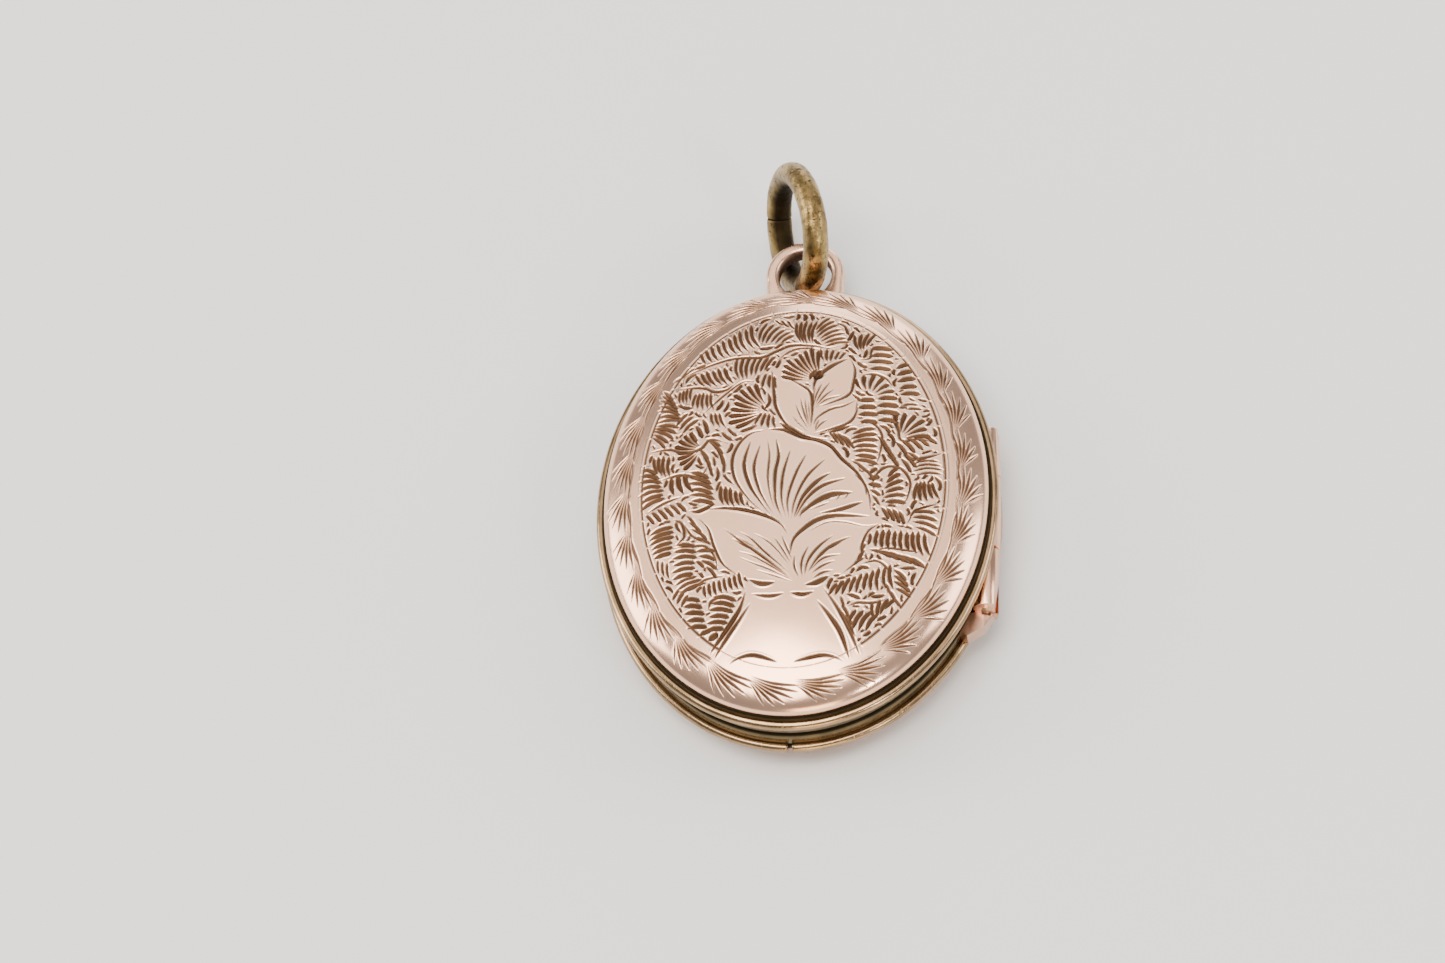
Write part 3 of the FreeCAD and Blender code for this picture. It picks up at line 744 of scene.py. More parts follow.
# %% The bud
BUD_CUTS = (
    ([(0.7, 2.65), (-0.3, 3.3), (-0.85, 4.3), (-1.0, 5.3), (-1.15, 6.7)], 0.17),
    ([(0.85, 3.0), (0.92, 4.0), (0.85, 5.1), (0.3, 5.65), (-0.5, 6.15)], 0.15),
    ([(0.95, 5.2), (1.1, 6.0), (1.8, 6.7), (2.65, 7.2)], 0.20),
    ([(1.0, 4.25), (1.8, 4.5), (2.7, 4.95), (2.95, 5.7), (3.0, 6.6), (2.7, 7.25)], 0.14),
    ([(1.0, 3.0), (1.15, 3.6), (1.8, 4.1), (2.5, 4.3), (3.1, 4.65)], 0.12),
    ([(0.95, 2.7), (1.9, 2.95), (2.75, 3.3), (3.1, 3.9), (3.15, 4.6)], 0.14),
    ([(1.3, 2.35), (0.6, 2.5), (0.1, 2.8), (-0.7, 3.45)], 0.27),
    ([(1.8, 2.3), (0.8, 2.45), (-0.3, 2.95), (-1.3, 3.08)], 0.20),
    ([(2.95, 3.15), (2.3, 2.9), (1.7, 2.75)], 0.18),
    ([(0.8, 2.8), (0.3, 3.3), (-0.1, 3.9)], 0.08),
    ([(0.8, 2.9), (0.4, 3.7), (0.05, 4.6)], 0.09),
    ([(0.82, 3.0), (0.55, 3.9), (0.3, 4.95)], 0.09),
    ([(0.84, 3.1), (0.65, 4.0), (0.55, 4.95)], 0.08),
    ([(0.86, 3.3), (0.78, 4.0), (0.75, 4.7)], 0.07),
    ([(1.0, 4.3), (1.1, 5.0), (1.4, 5.75)], 0.09),
    ([(1.05, 4.3), (1.3, 5.0), (1.8, 5.8)], 0.09),
    ([(1.05, 4.25), (1.5, 4.9), (2.0, 5.35)], 0.09),
    ([(1.1, 4.25), (1.6, 4.7), (2.4, 4.95)], 0.09),
    ([(1.0, 4.4), (0.98, 5.0), (1.05, 5.5)], 0.08),
    ([(1.1, 2.85), (1.3, 3.2), (1.7, 3.55)], 0.09),
    ([(1.1, 2.8), (1.15, 3.2), (1.3, 3.6)], 0.08),
    ([(1.35, 6.5), (1.2, 6.2), (1.05, 5.9)], 0.42),
    ([(0.75, 5.9), (0.85, 6.2), (1.15, 6.6)], 0.22),
)
cut_all(BUD_CUTS, 1.35, swell=0.4, blunt=0.35)
print(len(BUD_CUTS), "bud cuts")

# %% [markdown]
# The ground between the motifs is filled with rows and fans of short fat cuts, laid in
# all directions like tiny feathers, so that the polished flowers stand out. Two wavy
# stems run through them near the top.

# %% Rows of the ground
LADDERS = (
    # start, end, count, heading, length, width: the top, left to right
    ((-4.65, 7.75), (-2.0, 8.85), 10, (112, 108), (0.75, 1.45), 0.20),
    ((-1.65, 9.1), (-0.4, 8.55), 6, (72, 36), (1.25, 0.8), 0.19),
    ((-0.85, 9.65), (-0.25, 9.45), 3, (135, 120), (0.6, 0.6), 0.16),
    ((0.15, 8.95), (0.95, 8.95), 5, (100, 82), (1.3, 1.2), 0.19),
    ((1.35, 9.45), (2.1, 8.1), 7, (50, 12), (1.1, 1.1), 0.19),
    ((2.3, 9.35), (2.75, 8.65), 3, (-35, -110), (0.6, 0.6), 0.17),
    ((3.05, 8.2), (3.75, 8.35), 4, (102, 62), (1.0, 0.9), 0.20),
    ((-4.75, 6.35), (-3.3, 6.5), 6, (120, 114), (0.85, 1.1), 0.22),
    ((-2.85, 6.85), (-1.25, 7.05), 7, (96, 60), (1.25, 0.9), 0.19),
    ((-5.25, 7.05), (-5.85, 6.6), 3, (40, 30), (0.5, 0.5), 0.15),
    ((1.35, 7.45), (2.35, 7.35), 5, (100, 58), (0.75, 0.5), 0.17),
    ((4.3, 7.75), (4.25, 6.5), 4, (2, -2), (1.05, 1.0), 0.22),
    ((5.35, 6.75), (5.75, 5.0), 5, (28, 4), (0.7, 0.85), 0.22),
    ((-5.75, 5.45), (-5.2, 5.55), 4, (88, 88), (0.75, 0.75), 0.17),
    ((-6.35, 5.65), (-6.2, 4.05), 7, (-52, -4), (0.85, 1.15), 0.22),
    ((-5.0, 5.15), (-4.1, 5.0), 5, (78, 98), (0.85, 0.9), 0.18),
    ((-1.5, 6.0), (-0.95, 5.9), 3, (78, 98), (0.9, 0.6), 0.15),
    ((-1.75, 3.75), (-0.95, 3.5), 4, (62, 98), (0.75, 0.7), 0.17),
    # the left side, downwards
    ((-6.3, 3.75), (-6.75, 2.85), 5, (-14, -48), (1.15, 0.9), 0.23),
    ((-5.6, 4.05), (-5.15, 3.6), 3, (52, 44), (0.9, 0.9), 0.19),
    ((-5.0, 2.95), (-4.4, 3.5), 3, (-60, -75), (0.7, 0.8), 0.18),
    ((-4.05, 3.9), (-3.55, 3.8), 3, (100, 110), (0.8, 0.8), 0.18),
    ((-3.95, 2.5), (-3.5, 1.3), 5, (-32, -82), (0.9, 1.1), 0.18),
    ((-4.45, 1.9), (-4.1, 0.9), 4, (-50, -70), (0.9, 0.8), 0.18),
    ((-7.15, 1.2), (-6.95, -0.75), 7, (-28, 24), (0.85, 1.2), 0.24),
    ((-6.85, 1.5), (-6.15, 1.35), 4, (102, 92), (1.0, 1.1), 0.21),
    ((-5.95, 0.15), (-5.15, 0.25), 3, (96, 112), (1.0, 1.0), 0.24),
    ((-4.6, 0.65), (-4.4, -0.95), 6, (-24, -14), (1.05, 1.15), 0.25),
    ((-3.45, -0.6), (-2.45, -0.9), 5, (96, 104), (1.1, 0.75), 0.22),
    ((-7.05, -1.6), (-5.5, -1.1), 6, (-52, -48), (0.7, 0.75), 0.22),
    ((-6.45, -2.35), (-6.35, -3.75), 6, (14, 12), (1.15, 0.85), 0.25),
    ((-4.95, -2.0), (-4.35, -3.15), 4, (-55, -32), (0.9, 0.9), 0.19),
    ((-5.2, -3.35), (-5.3, -5.05), 6, (-12, 10), (1.0, 1.0), 0.24),
    ((-4.2, -3.75), (-3.9, -4.95), 4, (-4, -52), (0.9, 0.8), 0.21),
    ((-5.15, -5.3), (-4.85, -5.8), 3, (18, 22), (1.1, 1.2), 0.20),
    ((-4.2, -6.0), (-2.4, -5.55), 8, (98, 106), (0.65, 0.8), 0.19),
    ((-4.85, -6.4), (-4.55, -7.9), 5, (-12, -4), (0.85, 0.85), 0.25),
    ((-3.2, -6.5), (-3.65, -8.1), 6, (-16, -2), (1.15, 0.8), 0.25),
    ((-4.15, -8.2), (-3.75, -8.5), 2, (20, 30), (0.6, 0.5), 0.18),
    ((-6.55, -4.35), (-6.05, -4.65), 3, (96, 98), (0.8, 0.8), 0.15),
    ((-5.65, -6.0), (-5.2, -6.4), 3, (58, 62), (0.6, 0.6), 0.18),
    # the right side, downwards
    ((3.6, 4.6), (3.75, 3.3), 4, (4, -4), (0.8, 0.8), 0.20),
    ((4.65, 4.7), (4.7, 3.35), 4, (2, -6), (0.95, 0.95), 0.20),
    ((5.75, 4.35), (5.95, 4.1), 2, (4, 2), (0.8, 0.7), 0.12),
    ((2.0, 2.45), (2.75, 2.15), 4, (-58, -56), (0.85, 0.95), 0.19),
    ((3.5, 2.75), (3.65, 0.95), 7, (16, -14), (1.15, 1.05), 0.24),
    ((3.2, 0.85), (3.75, 0.3), 3, (-35, -50), (0.7, 0.7), 0.18),
    ((4.45, 2.1), (4.95, 1.05), 4, (-58, -50), (0.85, 0.85), 0.23),
    ((5.35, 1.75), (6.65, 2.35), 5, (-54, -30), (0.95, 0.9), 0.23),
    ((6.0, 1.25), (5.6, 0.75), 3, (-40, -60), (0.9, 0.8), 0.21),
    ((4.95, 0.35), (5.1, -1.4), 6, (48, -2), (0.75, 1.0), 0.24),
    ((4.0, 0.45), (4.15, -1.25), 5, (35, -60), (0.5, 0.6), 0.18),
    ((6.55, 0.95), (6.7, 0.25), 4, (8, 6), (1.25, 1.2), 0.14),
    ((6.1, -0.75), (7.05, -0.65), 5, (82, 112), (1.05, 0.85), 0.22),
    ((4.6, -2.0), (5.4, -2.25), 4, (-62, -72), (0.75, 0.75), 0.22),
    ((6.5, -1.95), (6.6, -3.0), 4, (2, -24), (1.1, 1.0), 0.21),
    ((4.2, -3.45), (6.65, -3.7), 9, (84, 102), (0.9, 1.15), 0.23),
    ((3.55, -4.0), (3.3, -4.75), 3, (70, 40), (0.6, 0.6), 0.16),
    ((4.4, -4.3), (6.15, -4.75), 6, (-22, -34), (1.15, 0.9), 0.22),
    ((2.1, -6.25), (4.95, -5.55), 10, (58, 96), (0.75, 1.15), 0.21),
    ((5.35, -5.45), (5.5, -6.4), 4, (-44, -30), (0.8, 0.8), 0.22),
    ((4.75, -6.2), (5.15, -6.9), 3, (-70, -50), (0.6, 0.6), 0.18),
    ((3.0, -7.85), (3.95, -8.05), 4, (64, 58), (1.0, 1.0), 0.23),
    ((2.55, -6.95), (2.85, -7.9), 3, (-75, -50), (0.7, 0.6), 0.18),
    ((4.05, -7.45), (4.85, -7.05), 4, (96, 48), (0.95, 0.7), 0.21),
)
print(sum(row[2] for row in LADDERS), "short cuts in rows")

# %% [markdown]
# Five fans and some longer stems run between the rows. The stems are cut first, then the
# fans, then the rows over them.

# %% Fans and stems of the ground
SHELLS = (
    # centre, inner and outer radius, headings, count, width
    ((-1.25, 4.15), 0.45, 2.0, (112, 208), 9, 0.24),
    ((1.25, 5.8), 0.5, 2.1, (168, 92), 9, 0.21),
    ((3.65, 4.75), 0.45, 1.45, (118, 18), 6, 0.22),
    ((-4.55, 2.15), 0.25, 1.35, (118, 232), 8, 0.24),
    ((5.25, 2.35), 0.30, 1.60, (98, 6), 6, 0.24),
)
STEMS = (
    ([(2.5, 8.1), (1.7, 7.85), (0.9, 8.02), (-0.2, 8.08), (-1.0, 7.75), (-1.7, 7.45), (-3.0, 7.5),
      (-4.0, 7.3), (-5.0, 6.95), (-5.9, 6.55)], 0.17),
    ([(1.3, 7.75), (0.5, 7.9), (-0.2, 7.75), (-0.9, 7.2)], 0.13),
    ([(-2.9, 6.0), (-3.4, 5.6), (-4.0, 5.55), (-4.6, 5.85), (-5.8, 6.0)], 0.17),
    ([(-4.5, 4.3), (-3.6, 5.2), (-2.6, 6.0), (-1.9, 6.0)], 0.12),
    ([(-7.2, 2.35), (-6.2, 2.35), (-5.4, 2.05), (-4.6, 2.2), (-4.1, 2.7), (-3.2, 2.4)], 0.18),
    ([(-6.6, 0.6), (-5.6, 0.75), (-4.6, 0.6), (-4.2, 1.2)], 0.17),
    ([(-7.2, -1.2), (-6.3, -0.75), (-5.5, -0.5)], 0.15),
    ([(-3.8, -1.1), (-4.6, -1.45), (-5.1, -1.4)], 0.20),
    ([(-5.9, -1.75), (-5.4, -2.1), (-5.3, -2.8), (-5.7, -3.3)], 0.17),
    ([(-5.3, -2.1), (-4.9, -2.8), (-4.2, -3.35)], 0.14),
    ([(-5.9, -3.4), (-5.0, -3.4), (-4.2, -3.5), (-3.7, -4.2), (-3.6, -5.0)], 0.14),
    ([(-5.7, -5.9), (-4.8, -5.75), (-4.2, -5.35), (-3.2, -5.2)], 0.14),
    ([(-4.0, -7.1), (-3.9, -6.6), (-3.4, -6.4), (-2.6, -6.5)], 0.16),
    ([(3.0, 7.1), (3.7, 7.2), (3.9, 7.9), (4.9, 8.0)], 0.13),
    ([(3.3, 6.15), (4.0, 6.2), (4.6, 5.9), (4.9, 5.4)], 0.15),
    ([(2.8, 5.1), (3.4, 4.6), (4.2, 4.55)], 0.16),
    ([(3.1, 3.1), (3.8, 3.3), (4.4, 2.6), (4.3, 1.4), (4.1, 0.8)], 0.14),
    ([(5.1, 3.9), (5.2, 3.0), (5.4, 2.2), (6.3, 2.35), (7.2, 2.0)], 0.14),
    ([(5.2, 1.9), (5.8, 1.2), (6.4, 1.2), (7.4, 1.55)], 0.18),
    ([(4.1, -0.9), (4.0, -0.1), (4.5, 0.6), (5.3, 0.6), (5.8, -0.1), (5.7, -1.0),
      (5.4, -1.7)], 0.16),
    ([(7.2, -1.4), (6.6, -1.6), (6.0, -1.9), (5.7, -2.6)], 0.15),
    ([(3.4, -4.9), (4.2, -4.7), (4.8, -5.2), (5.0, -6.0)], 0.14),
    ([(6.5, -4.2), (5.6, -4.1), (4.6, -4.0), (4.1, -4.3)], 0.14),
    ([(2.8, -7.2), (3.3, -7.0), (4.0, -7.0), (4.7, -6.8)], 0.14),
    ([(3.2, -8.8), (2.9, -8.2), (2.5, -7.4)], 0.18),
)
cut_all(STEMS, 1.3, swell=0.3, blunt=0.4)
for fan in SHELLS:
    shell(*fan)
for row in LADDERS:
    ladder(*row)
print(sum(fan[4] for fan in SHELLS), "cuts in fans,", len(STEMS), "stems")

# %% [markdown]
# Whatever ground is still bare is filled as the engraver would fill it, with more rows of
# the same short cuts, thrown in wherever a whole cut still fits and kept off the
# polished petals, leaves and vase. Long cuts are tried first and small ones last.

# %% Where the ground is bare
POLISHED = (
    # the vase
    [(-2.0, -5.5), (-2.5, -7.2), (-3.9, -9.3), (-3.9, -10.6), (3.6, -10.6), (3.4, -9.7),
     (2.9, -8.4), (2.3, -7.2), (1.6, -6.1), (1.9, -5.4), (0.5, -5.2)],
    # the leaves
    [(0.5, -5.95), (-2.1, -5.4), (-3.3, -4.6), (-3.8, -3.5), (-4.1, -2.5), (-4.8, -1.6),
     (-3.2, -1.35), (-2.2, -1.5), (-1.2, -1.9), (0.0, -2.9), (1.2, -2.2), (2.2, -2.0),
     (3.9, -2.1), (4.6, -2.5), (3.8, -3.0), (3.5, -3.7), (3.4, -4.4), (2.6, -5.3), (1.9, -5.5)],
    # the flower
    [(-0.8, -2.3), (-2.0, -1.1), (-2.8, 0.2), (-3.05, 1.4), (-2.75, 2.4), (-2.1, 3.0),
     (-1.4, 3.15), (-0.6, 3.0), (0.4, 2.6), (1.2, 2.4), (1.9, 2.0), (2.6, 1.1), (3.3, 0.3),
     (3.85, -0.9), (3.95, -2.2), (1.6, -2.3), (0, -3.2)],
    # the bud
    [(0.75, 2.6), (-0.3, 3.3), (-0.85, 4.3), (-1.0, 5.3), (-1.15, 6.7), (-0.5, 6.15),
     (0.3, 5.65), (0.85, 5.3), (1.1, 6.0), (1.8, 6.7), (2.7, 7.25), (3.0, 6.6), (2.95, 5.7),
     (2.7, 4.95), (3.1, 4.65), (3.1, 3.9), (2.75, 3.3), (1.9, 2.95)],
)
# Ground cut deeper than this is taken, and so is all of it this close to the drawing's line.
TAKEN_DEPTH, FILL_MARGIN = 0.004, 0.1
grid_x, grid_y = np.meshgrid(table_x, table_y)


def inside_polygon(corners):
    """Even-odd rule: each side that a point's level line crosses to its right flips it."""
    odd = np.zeros(grid_x.shape, bool)
    for (x0, y0), (x1, y1) in zip(corners, corners[1:] + corners[:1]):
        if y0 != y1:
            crosses = (grid_y < y0) != (grid_y < y1)
            odd ^= crosses & (grid_x < x0 + (grid_y - y0) * (x1 - x0) / (y1 - y0))
    return odd


fill_a, fill_b = COVER_A - FIELD_INSET - FILL_MARGIN, COVER_B - FIELD_INSET - FILL_MARGIN
closed = (grid_x / fill_a) ** 2 + (grid_y / fill_b) ** 2 > 1
for corners in POLISHED:
    closed |= inside_polygon(corners)
taken = closed | (depth_table > TAKEN_DEPTH)
print("share of the table still bare:", round(float((~taken).mean()), 3))

# %% [markdown]
# A row is thrown at a chance place, heading, curve and length. Its cuts are laid side by
# side until one would touch something that is already there.

# %% Throw in more cuts
# The land left between two cuts of a row, and how far their sides may run into a taken place.
FILL_LAND, SIDE_OVERLAP = 0.10, 0.03
# Rows start anywhere in this half width and half length. Round a new cut, the taken places
# are looked up again this far out.
THROW_X, THROW_Y = 7.4, 10.2
REDRAW_MARGIN = 0.3
FILL_PASSES = (
    # tries, most cuts in a row, range of length, width
    (5000, 8, (0.8, 1.2), 0.27),
    (9000, 6, (0.55, 0.85), 0.25),
    (14000, 1, (0.6, 1.1), 0.24),
    (14000, 1, (0.42, 0.65), 0.21),
    (14000, 1, (0.26, 0.42), 0.17),
)
chance = np.random.default_rng(7)


def cut_points(x, y, angle, long, bow):
    """Start, middle and end of a short bowed cut."""
    ux, uy = math.cos(angle) * long / 2, math.sin(angle) * long / 2
    return np.array([(x - ux, y - uy), (x - uy * 2 * bow, y + ux * 2 * bow), (x + ux, y + uy)])


def fits(points, width):
    """True if the cut, with a narrow land left on both sides, touches nothing taken."""
    path = smooth_path(points, 5)
    heading = (points[2] - points[0]) / np.hypot(*(points[2] - points[0]))
    beside = np.array([-heading[1], heading[0]]) * (width / 2 - SIDE_OVERLAP)
    spots = np.vstack([path, path[2:-2] + beside, path[2:-2] - beside])
    i = ((spots[:, 0] + TABLE_X) / CELL).astype(int)
    j = ((spots[:, 1] + TABLE_Y) / CELL).astype(int)
    return not taken[j, i].any()


def throw_rows(tries, most, long_range, width):
    """Rows of bowed cuts side by side; a row is kept if at least two of its cuts fit."""
    made = 0
    for _ in range(tries):
        x, y = chance.uniform(-THROW_X, THROW_X), chance.uniform(-THROW_Y, THROW_Y)
        angle, turn_by = chance.uniform(0, 2 * np.pi), chance.uniform(-0.22, 0.22)
        long, bow = chance.uniform(*long_range), chance.uniform(-0.2, 0.2)
        row = []
        for _ in range(most):
            points = cut_points(x, y, angle, long * chance.uniform(0.88, 1.1), bow)
            if not fits(points, width):
                break
            row.append(points)
            angle += turn_by
            x -= math.sin(angle) * (width + FILL_LAND)
            y += math.cos(angle) * (width + FILL_LAND)
        if len(row) >= min(2, most):
            for points in row:
                groove(points, width * chance.uniform(0.95, 1.12), **SHORT_CUT)
                corner = points.min(0) - REDRAW_MARGIN, points.max(0) + REDRAW_MARGIN
                low, high = (((p + (TABLE_X, TABLE_Y)) / CELL).astype(int) for p in corner)
                part = (slice(low[1], high[1]), slice(low[0], high[0]))
                taken[part] = closed[part] | (depth_table[part] > TAKEN_DEPTH)
            made += len(row)
    return made


filled = sum(throw_rows(*one_pass) for one_pass in FILL_PASSES)
print(filled, "more cuts; share of the ground that is cut:",
      round(float((depth_table[~closed] > 0.01).mean()), 3))

# %% [markdown]
# Round the drawing runs a plain polished ring, and outside it a wreath: sprays of thin
# cuts that spring one from the next, anticlockwise all the way round. Each spray is
# drawn once along and across the oval, then laid on it by the oval's own tangent.

# %% The plain ring and the wreath
SPRAYS = 27
SPRAY_CUTS = (
    # where each thin cut starts and ends, along and outwards from its node, and its width
    (0.00, 0.00, 2.75, 0.06, 0.15), (0.06, 0.05, 2.72, 0.38, 0.17), (0.12, 0.09, 2.55, 0.70, 0.18),
    (0.16, 0.13, 2.22, 0.96, 0.18), (0.18, 0.17, 1.78, 1.12, 0.17), (0.16, 0.21, 1.28, 1.18, 0.14),
)
# The oval's mean radius, over which a straight cut has to bend with it.
BEND_RADIUS = 11
# The lines stop where the vase's foot stands over them, this far to each side.
RING_STOP, FIELD_STOP = 3.4, 3.3


def on_oval(angle, inset, along=0.0, out=0.0):
    """Point of the oval `inset` inside the cover's edge at this angle, moved along the
    oval's anticlockwise tangent and outwards along its normal."""
    a, b = COVER_A - inset, COVER_B - inset
    tangent = np.array([-a * np.sin(angle), b * np.cos(angle)])
    tangent = tangent / np.hypot(*tangent)
    normal = np.array([tangent[1], -tangent[0]])
    return np.array([a * np.cos(angle), b * np.sin(angle)]) + along * tangent + out * normal


def oval_angles(inset, count, first=0.0):
    """Angles that cut the oval's length into equal parts."""
    a, b = COVER_A - inset, COVER_B - inset
    fine = np.linspace(0, 2 * np.pi, 4000)
    steps = np.hypot(a * np.diff(np.cos(fine)), b * np.diff(np.sin(fine)))
    run = np.concatenate([[0], np.cumsum(steps)])
    return np.interp((np.arange(count) / count + first) % 1 * run[-1], run, fine)


def clear_of_vase(stretch, stop):
    """True if no point of a stretch lies under the vase's foot."""
    return all(not (p[1] < 0 and abs(p[0]) < stop) for p in stretch)


for number, angle in enumerate(oval_angles(RING_INSET, SPRAYS, first=0.01)):
    scale = uneven(number, 5, 7, 0.93, 0.14)
    for start_along, start_out, along, out, width in SPRAY_CUTS:
        along, out = along * scale, out * uneven(number, 3, 5, 0.92, 0.16)
        line = [on_oval(angle, RING_INSET, start_along, start_out),
                on_oval(angle, RING_INSET, along * 0.5, out * 0.46),
                on_oval(angle, RING_INSET, along, out - 0.5 * along ** 2 / BEND_RADIUS)]
        groove(line, width, swell=0.55, blunt=0.45, steepness=1.0, growth=0.85, burr=0.8)
ring_line = [on_oval(angle, RING_INSET - 0.02 + 0.05 * math.cos(SPRAYS * angle))
             for angle in np.linspace(0, 2 * np.pi, 120)]
for start in range(0, len(ring_line) - 4, 4):
    stretch = ring_line[start:start + 5]
    if clear_of_vase(stretch, RING_STOP):
        groove(stretch, 0.12, swell=0.1, blunt=0.1, burr=0.4)
print(SPRAYS, "sprays of", len(SPRAY_CUTS), "cuts; deepest cut", round(depth_table.max(), 3), "mm")

# %% [markdown]
# The line round the drawing is cut in short stretches, and only hinted at below the
# vase. Then the table of heights is read off: a groove counts down, a burr counts up,
# and a second table says where grime lies and where a paler crest is painted, as wear polish and a
# painted highlight.

# %% The line round the drawing
FIELD_STEPS = 160
# A shallower mark than this isn't a groove. Grime is full at one depth, the painted crest highlight
# at one height.
LEAST_DEPTH, FULL_GRIME, FULL_SHEEN = 0.002, 0.03, 0.010
field_line = [on_oval(angle, FIELD_INSET)
              for angle in np.linspace(-np.pi / 2, 3 * np.pi / 2, FIELD_STEPS + 1)]
for start in range(0, FIELD_STEPS, 4):
    stretch = field_line[start:start + 5]
    if clear_of_vase(stretch, FIELD_STOP):
        groove(stretch, 0.17, swell=0.05, blunt=0.05, steepness=0.6, lean=-0.4)
    else:
        groove(stretch, 0.07, swell=0.05, blunt=0.05, steepness=0.5, burr=0)
grooved = depth_table > LEAST_DEPTH
height_table = np.where(grooved, -depth_table, burr_table)
grime_sheen_table = np.where(grooved, np.clip(depth_table / FULL_GRIME, 0, 1),
                     -np.clip(burr_table / FULL_SHEEN, 0, 1))


def read_table(table, x, y):
    """Value of a height table at plan points, mixed from the four cells around each."""
    i = np.clip((x + TABLE_X) / CELL, 0, len(table_x) - 2)
    j = np.clip((y + TABLE_Y) / CELL, 0, len(table_y) - 2)
    i0, j0 = i.astype(int), j.astype(int)
    fi, fj = i - i0, j - j0
    return (table[j0, i0] * (1 - fi) * (1 - fj) + table[j0, i0 + 1] * fi * (1 - fj)
            + table[j0 + 1, i0] * (1 - fi) * fj + table[j0 + 1, i0 + 1] * fi * fj)


print("share of the cover that is cut:", round(float((depth_table > 0.01).mean()), 3))

# %% [markdown]
# ## The front cover
# Under the engraving the cover is a pillow: flat in the middle, falling away faster and
# faster to an upright edge. Its level lines keep an even distance near the edge, which
# is why the plain ring looks evenly wide, and close up to a point at the crown.

# %% The dome
LAND = 0.12
COVER_BASE = RIM_FRONT[1]
SWELL = 2.6
HALVINGS = 36


def level_oval(t):
    """Semi-axes of the level line a share t of the way from the crown to the edge."""
    spread = (1 - t) * (1 - (1 - t) ** 4)
    return COVER_A * t, COVER_B * t + (COVER_B - COVER_A) * spread


def level_at(x, y):
    """The share t whose level line passes through a plan point, found by halving."""
    low, high = np.zeros_like(x), np.full_like(x, 1.2)
    for _ in range(HALVINGS):
        middle = (low + high) / 2
        a, b = level_oval(np.maximum(middle, 1e-9))
        inside = (x / a) ** 2 + (y / b) ** 2 < 1
        high = np.where(inside, middle, high)
        low = np.where(inside, low, middle)
    return (low + high) / 2


def dome_height(t):
    """Crown height times the root of one minus t to the power SWELL, above the land."""
    foot = COVER_BASE + LAND
    return foot + (CROWN_Z - COVER_BASE - LAND) * np.sqrt(np.clip(1 - t ** SWELL, 0, 1))


def on_the_cover(x, y):
    """Points of the engraved dome over plan points."""
    level = np.minimum(level_at(x, y), 1.0)
    return np.stack([x, y, dome_height(level) + read_table(height_table, x, y)], -1)


def oval_row(theta, inset, z):
    """One row of points on the oval this far inside the cover's edge."""
    return np.stack([(COVER_A - inset) * np.cos(theta), (COVER_B - inset) * np.sin(theta),
                     np.full(len(theta), float(z))], -1)


# %% [markdown]
# The engraved field is a square grid pressed into an oval, so that its cells stay even.
# It is made in three bands, which meet along rows of shared points.

# %% The engraved field
FIELD_A, FIELD_B = COVER_A - FIELD_INSET, COVER_B - FIELD_INSET
BANDS, WIDE, TALL = 3, 424, 216
FIELD_UNDERSIDE = COVER_BASE + 0.62
for band in range(BANDS):
    u, v = np.meshgrid(np.linspace(-1, 1, WIDE),
                       np.linspace(2 * band / BANDS - 1, 2 * (band + 1) / BANDS - 1, TALL))
    field_x = FIELD_A * u * np.sqrt(1 - v ** 2 / 2)
    field_y = FIELD_B * v * np.sqrt(1 - u ** 2 / 2)
    field_points = on_the_cover(field_x, field_y).reshape(-1, 3)
    edge = np.concatenate([np.arange(WIDE - 1), np.arange(WIDE - 1, WIDE * TALL - 1, WIDE),
                           np.arange(WIDE * TALL - 1, WIDE * (TALL - 1), -1),
                           np.arange(WIDE * (TALL - 1), 0, -WIDE)])
    under = field_points[edge].copy()
    under[:, 2] = FIELD_UNDERSIDE
    skirt = len(field_points) + np.arange(len(edge))
    skirt_faces = np.stack([edge, np.roll(edge, -1), np.roll(skirt, -1), skirt], 1)
    all_points = np.vstack([field_points, under, [[0, under[:, 1].mean(), FIELD_UNDERSIDE]]])
    cover_field = make_piece("cover_field_" + str(band + 1), all_points,
                             np.vstack([grid_faces(TALL, WIDE), skirt_faces[:, ::-1]]),
                             cap_faces(skirt, len(all_points) - 1)[:, ::-1],
                             body="front_half", node="front_cover", rim=edge)
    paint_grime_shade_sheen(cover_field, read_table(grime_sheen_table, field_x, field_y))
    coat(cover_field, cover_gold)

# %% [markdown]
# The plain ring and the wreath lie on grids that run round the oval, in four arcs, from
# the line round the drawing out over the shoulder and down the upright edge. Field and
# border meet in the bottom of that line.

# %% The border of the cover
ARCS, AROUND, ACROSS = 4, 800, 92
FIRST_ARC_AT = 0.4
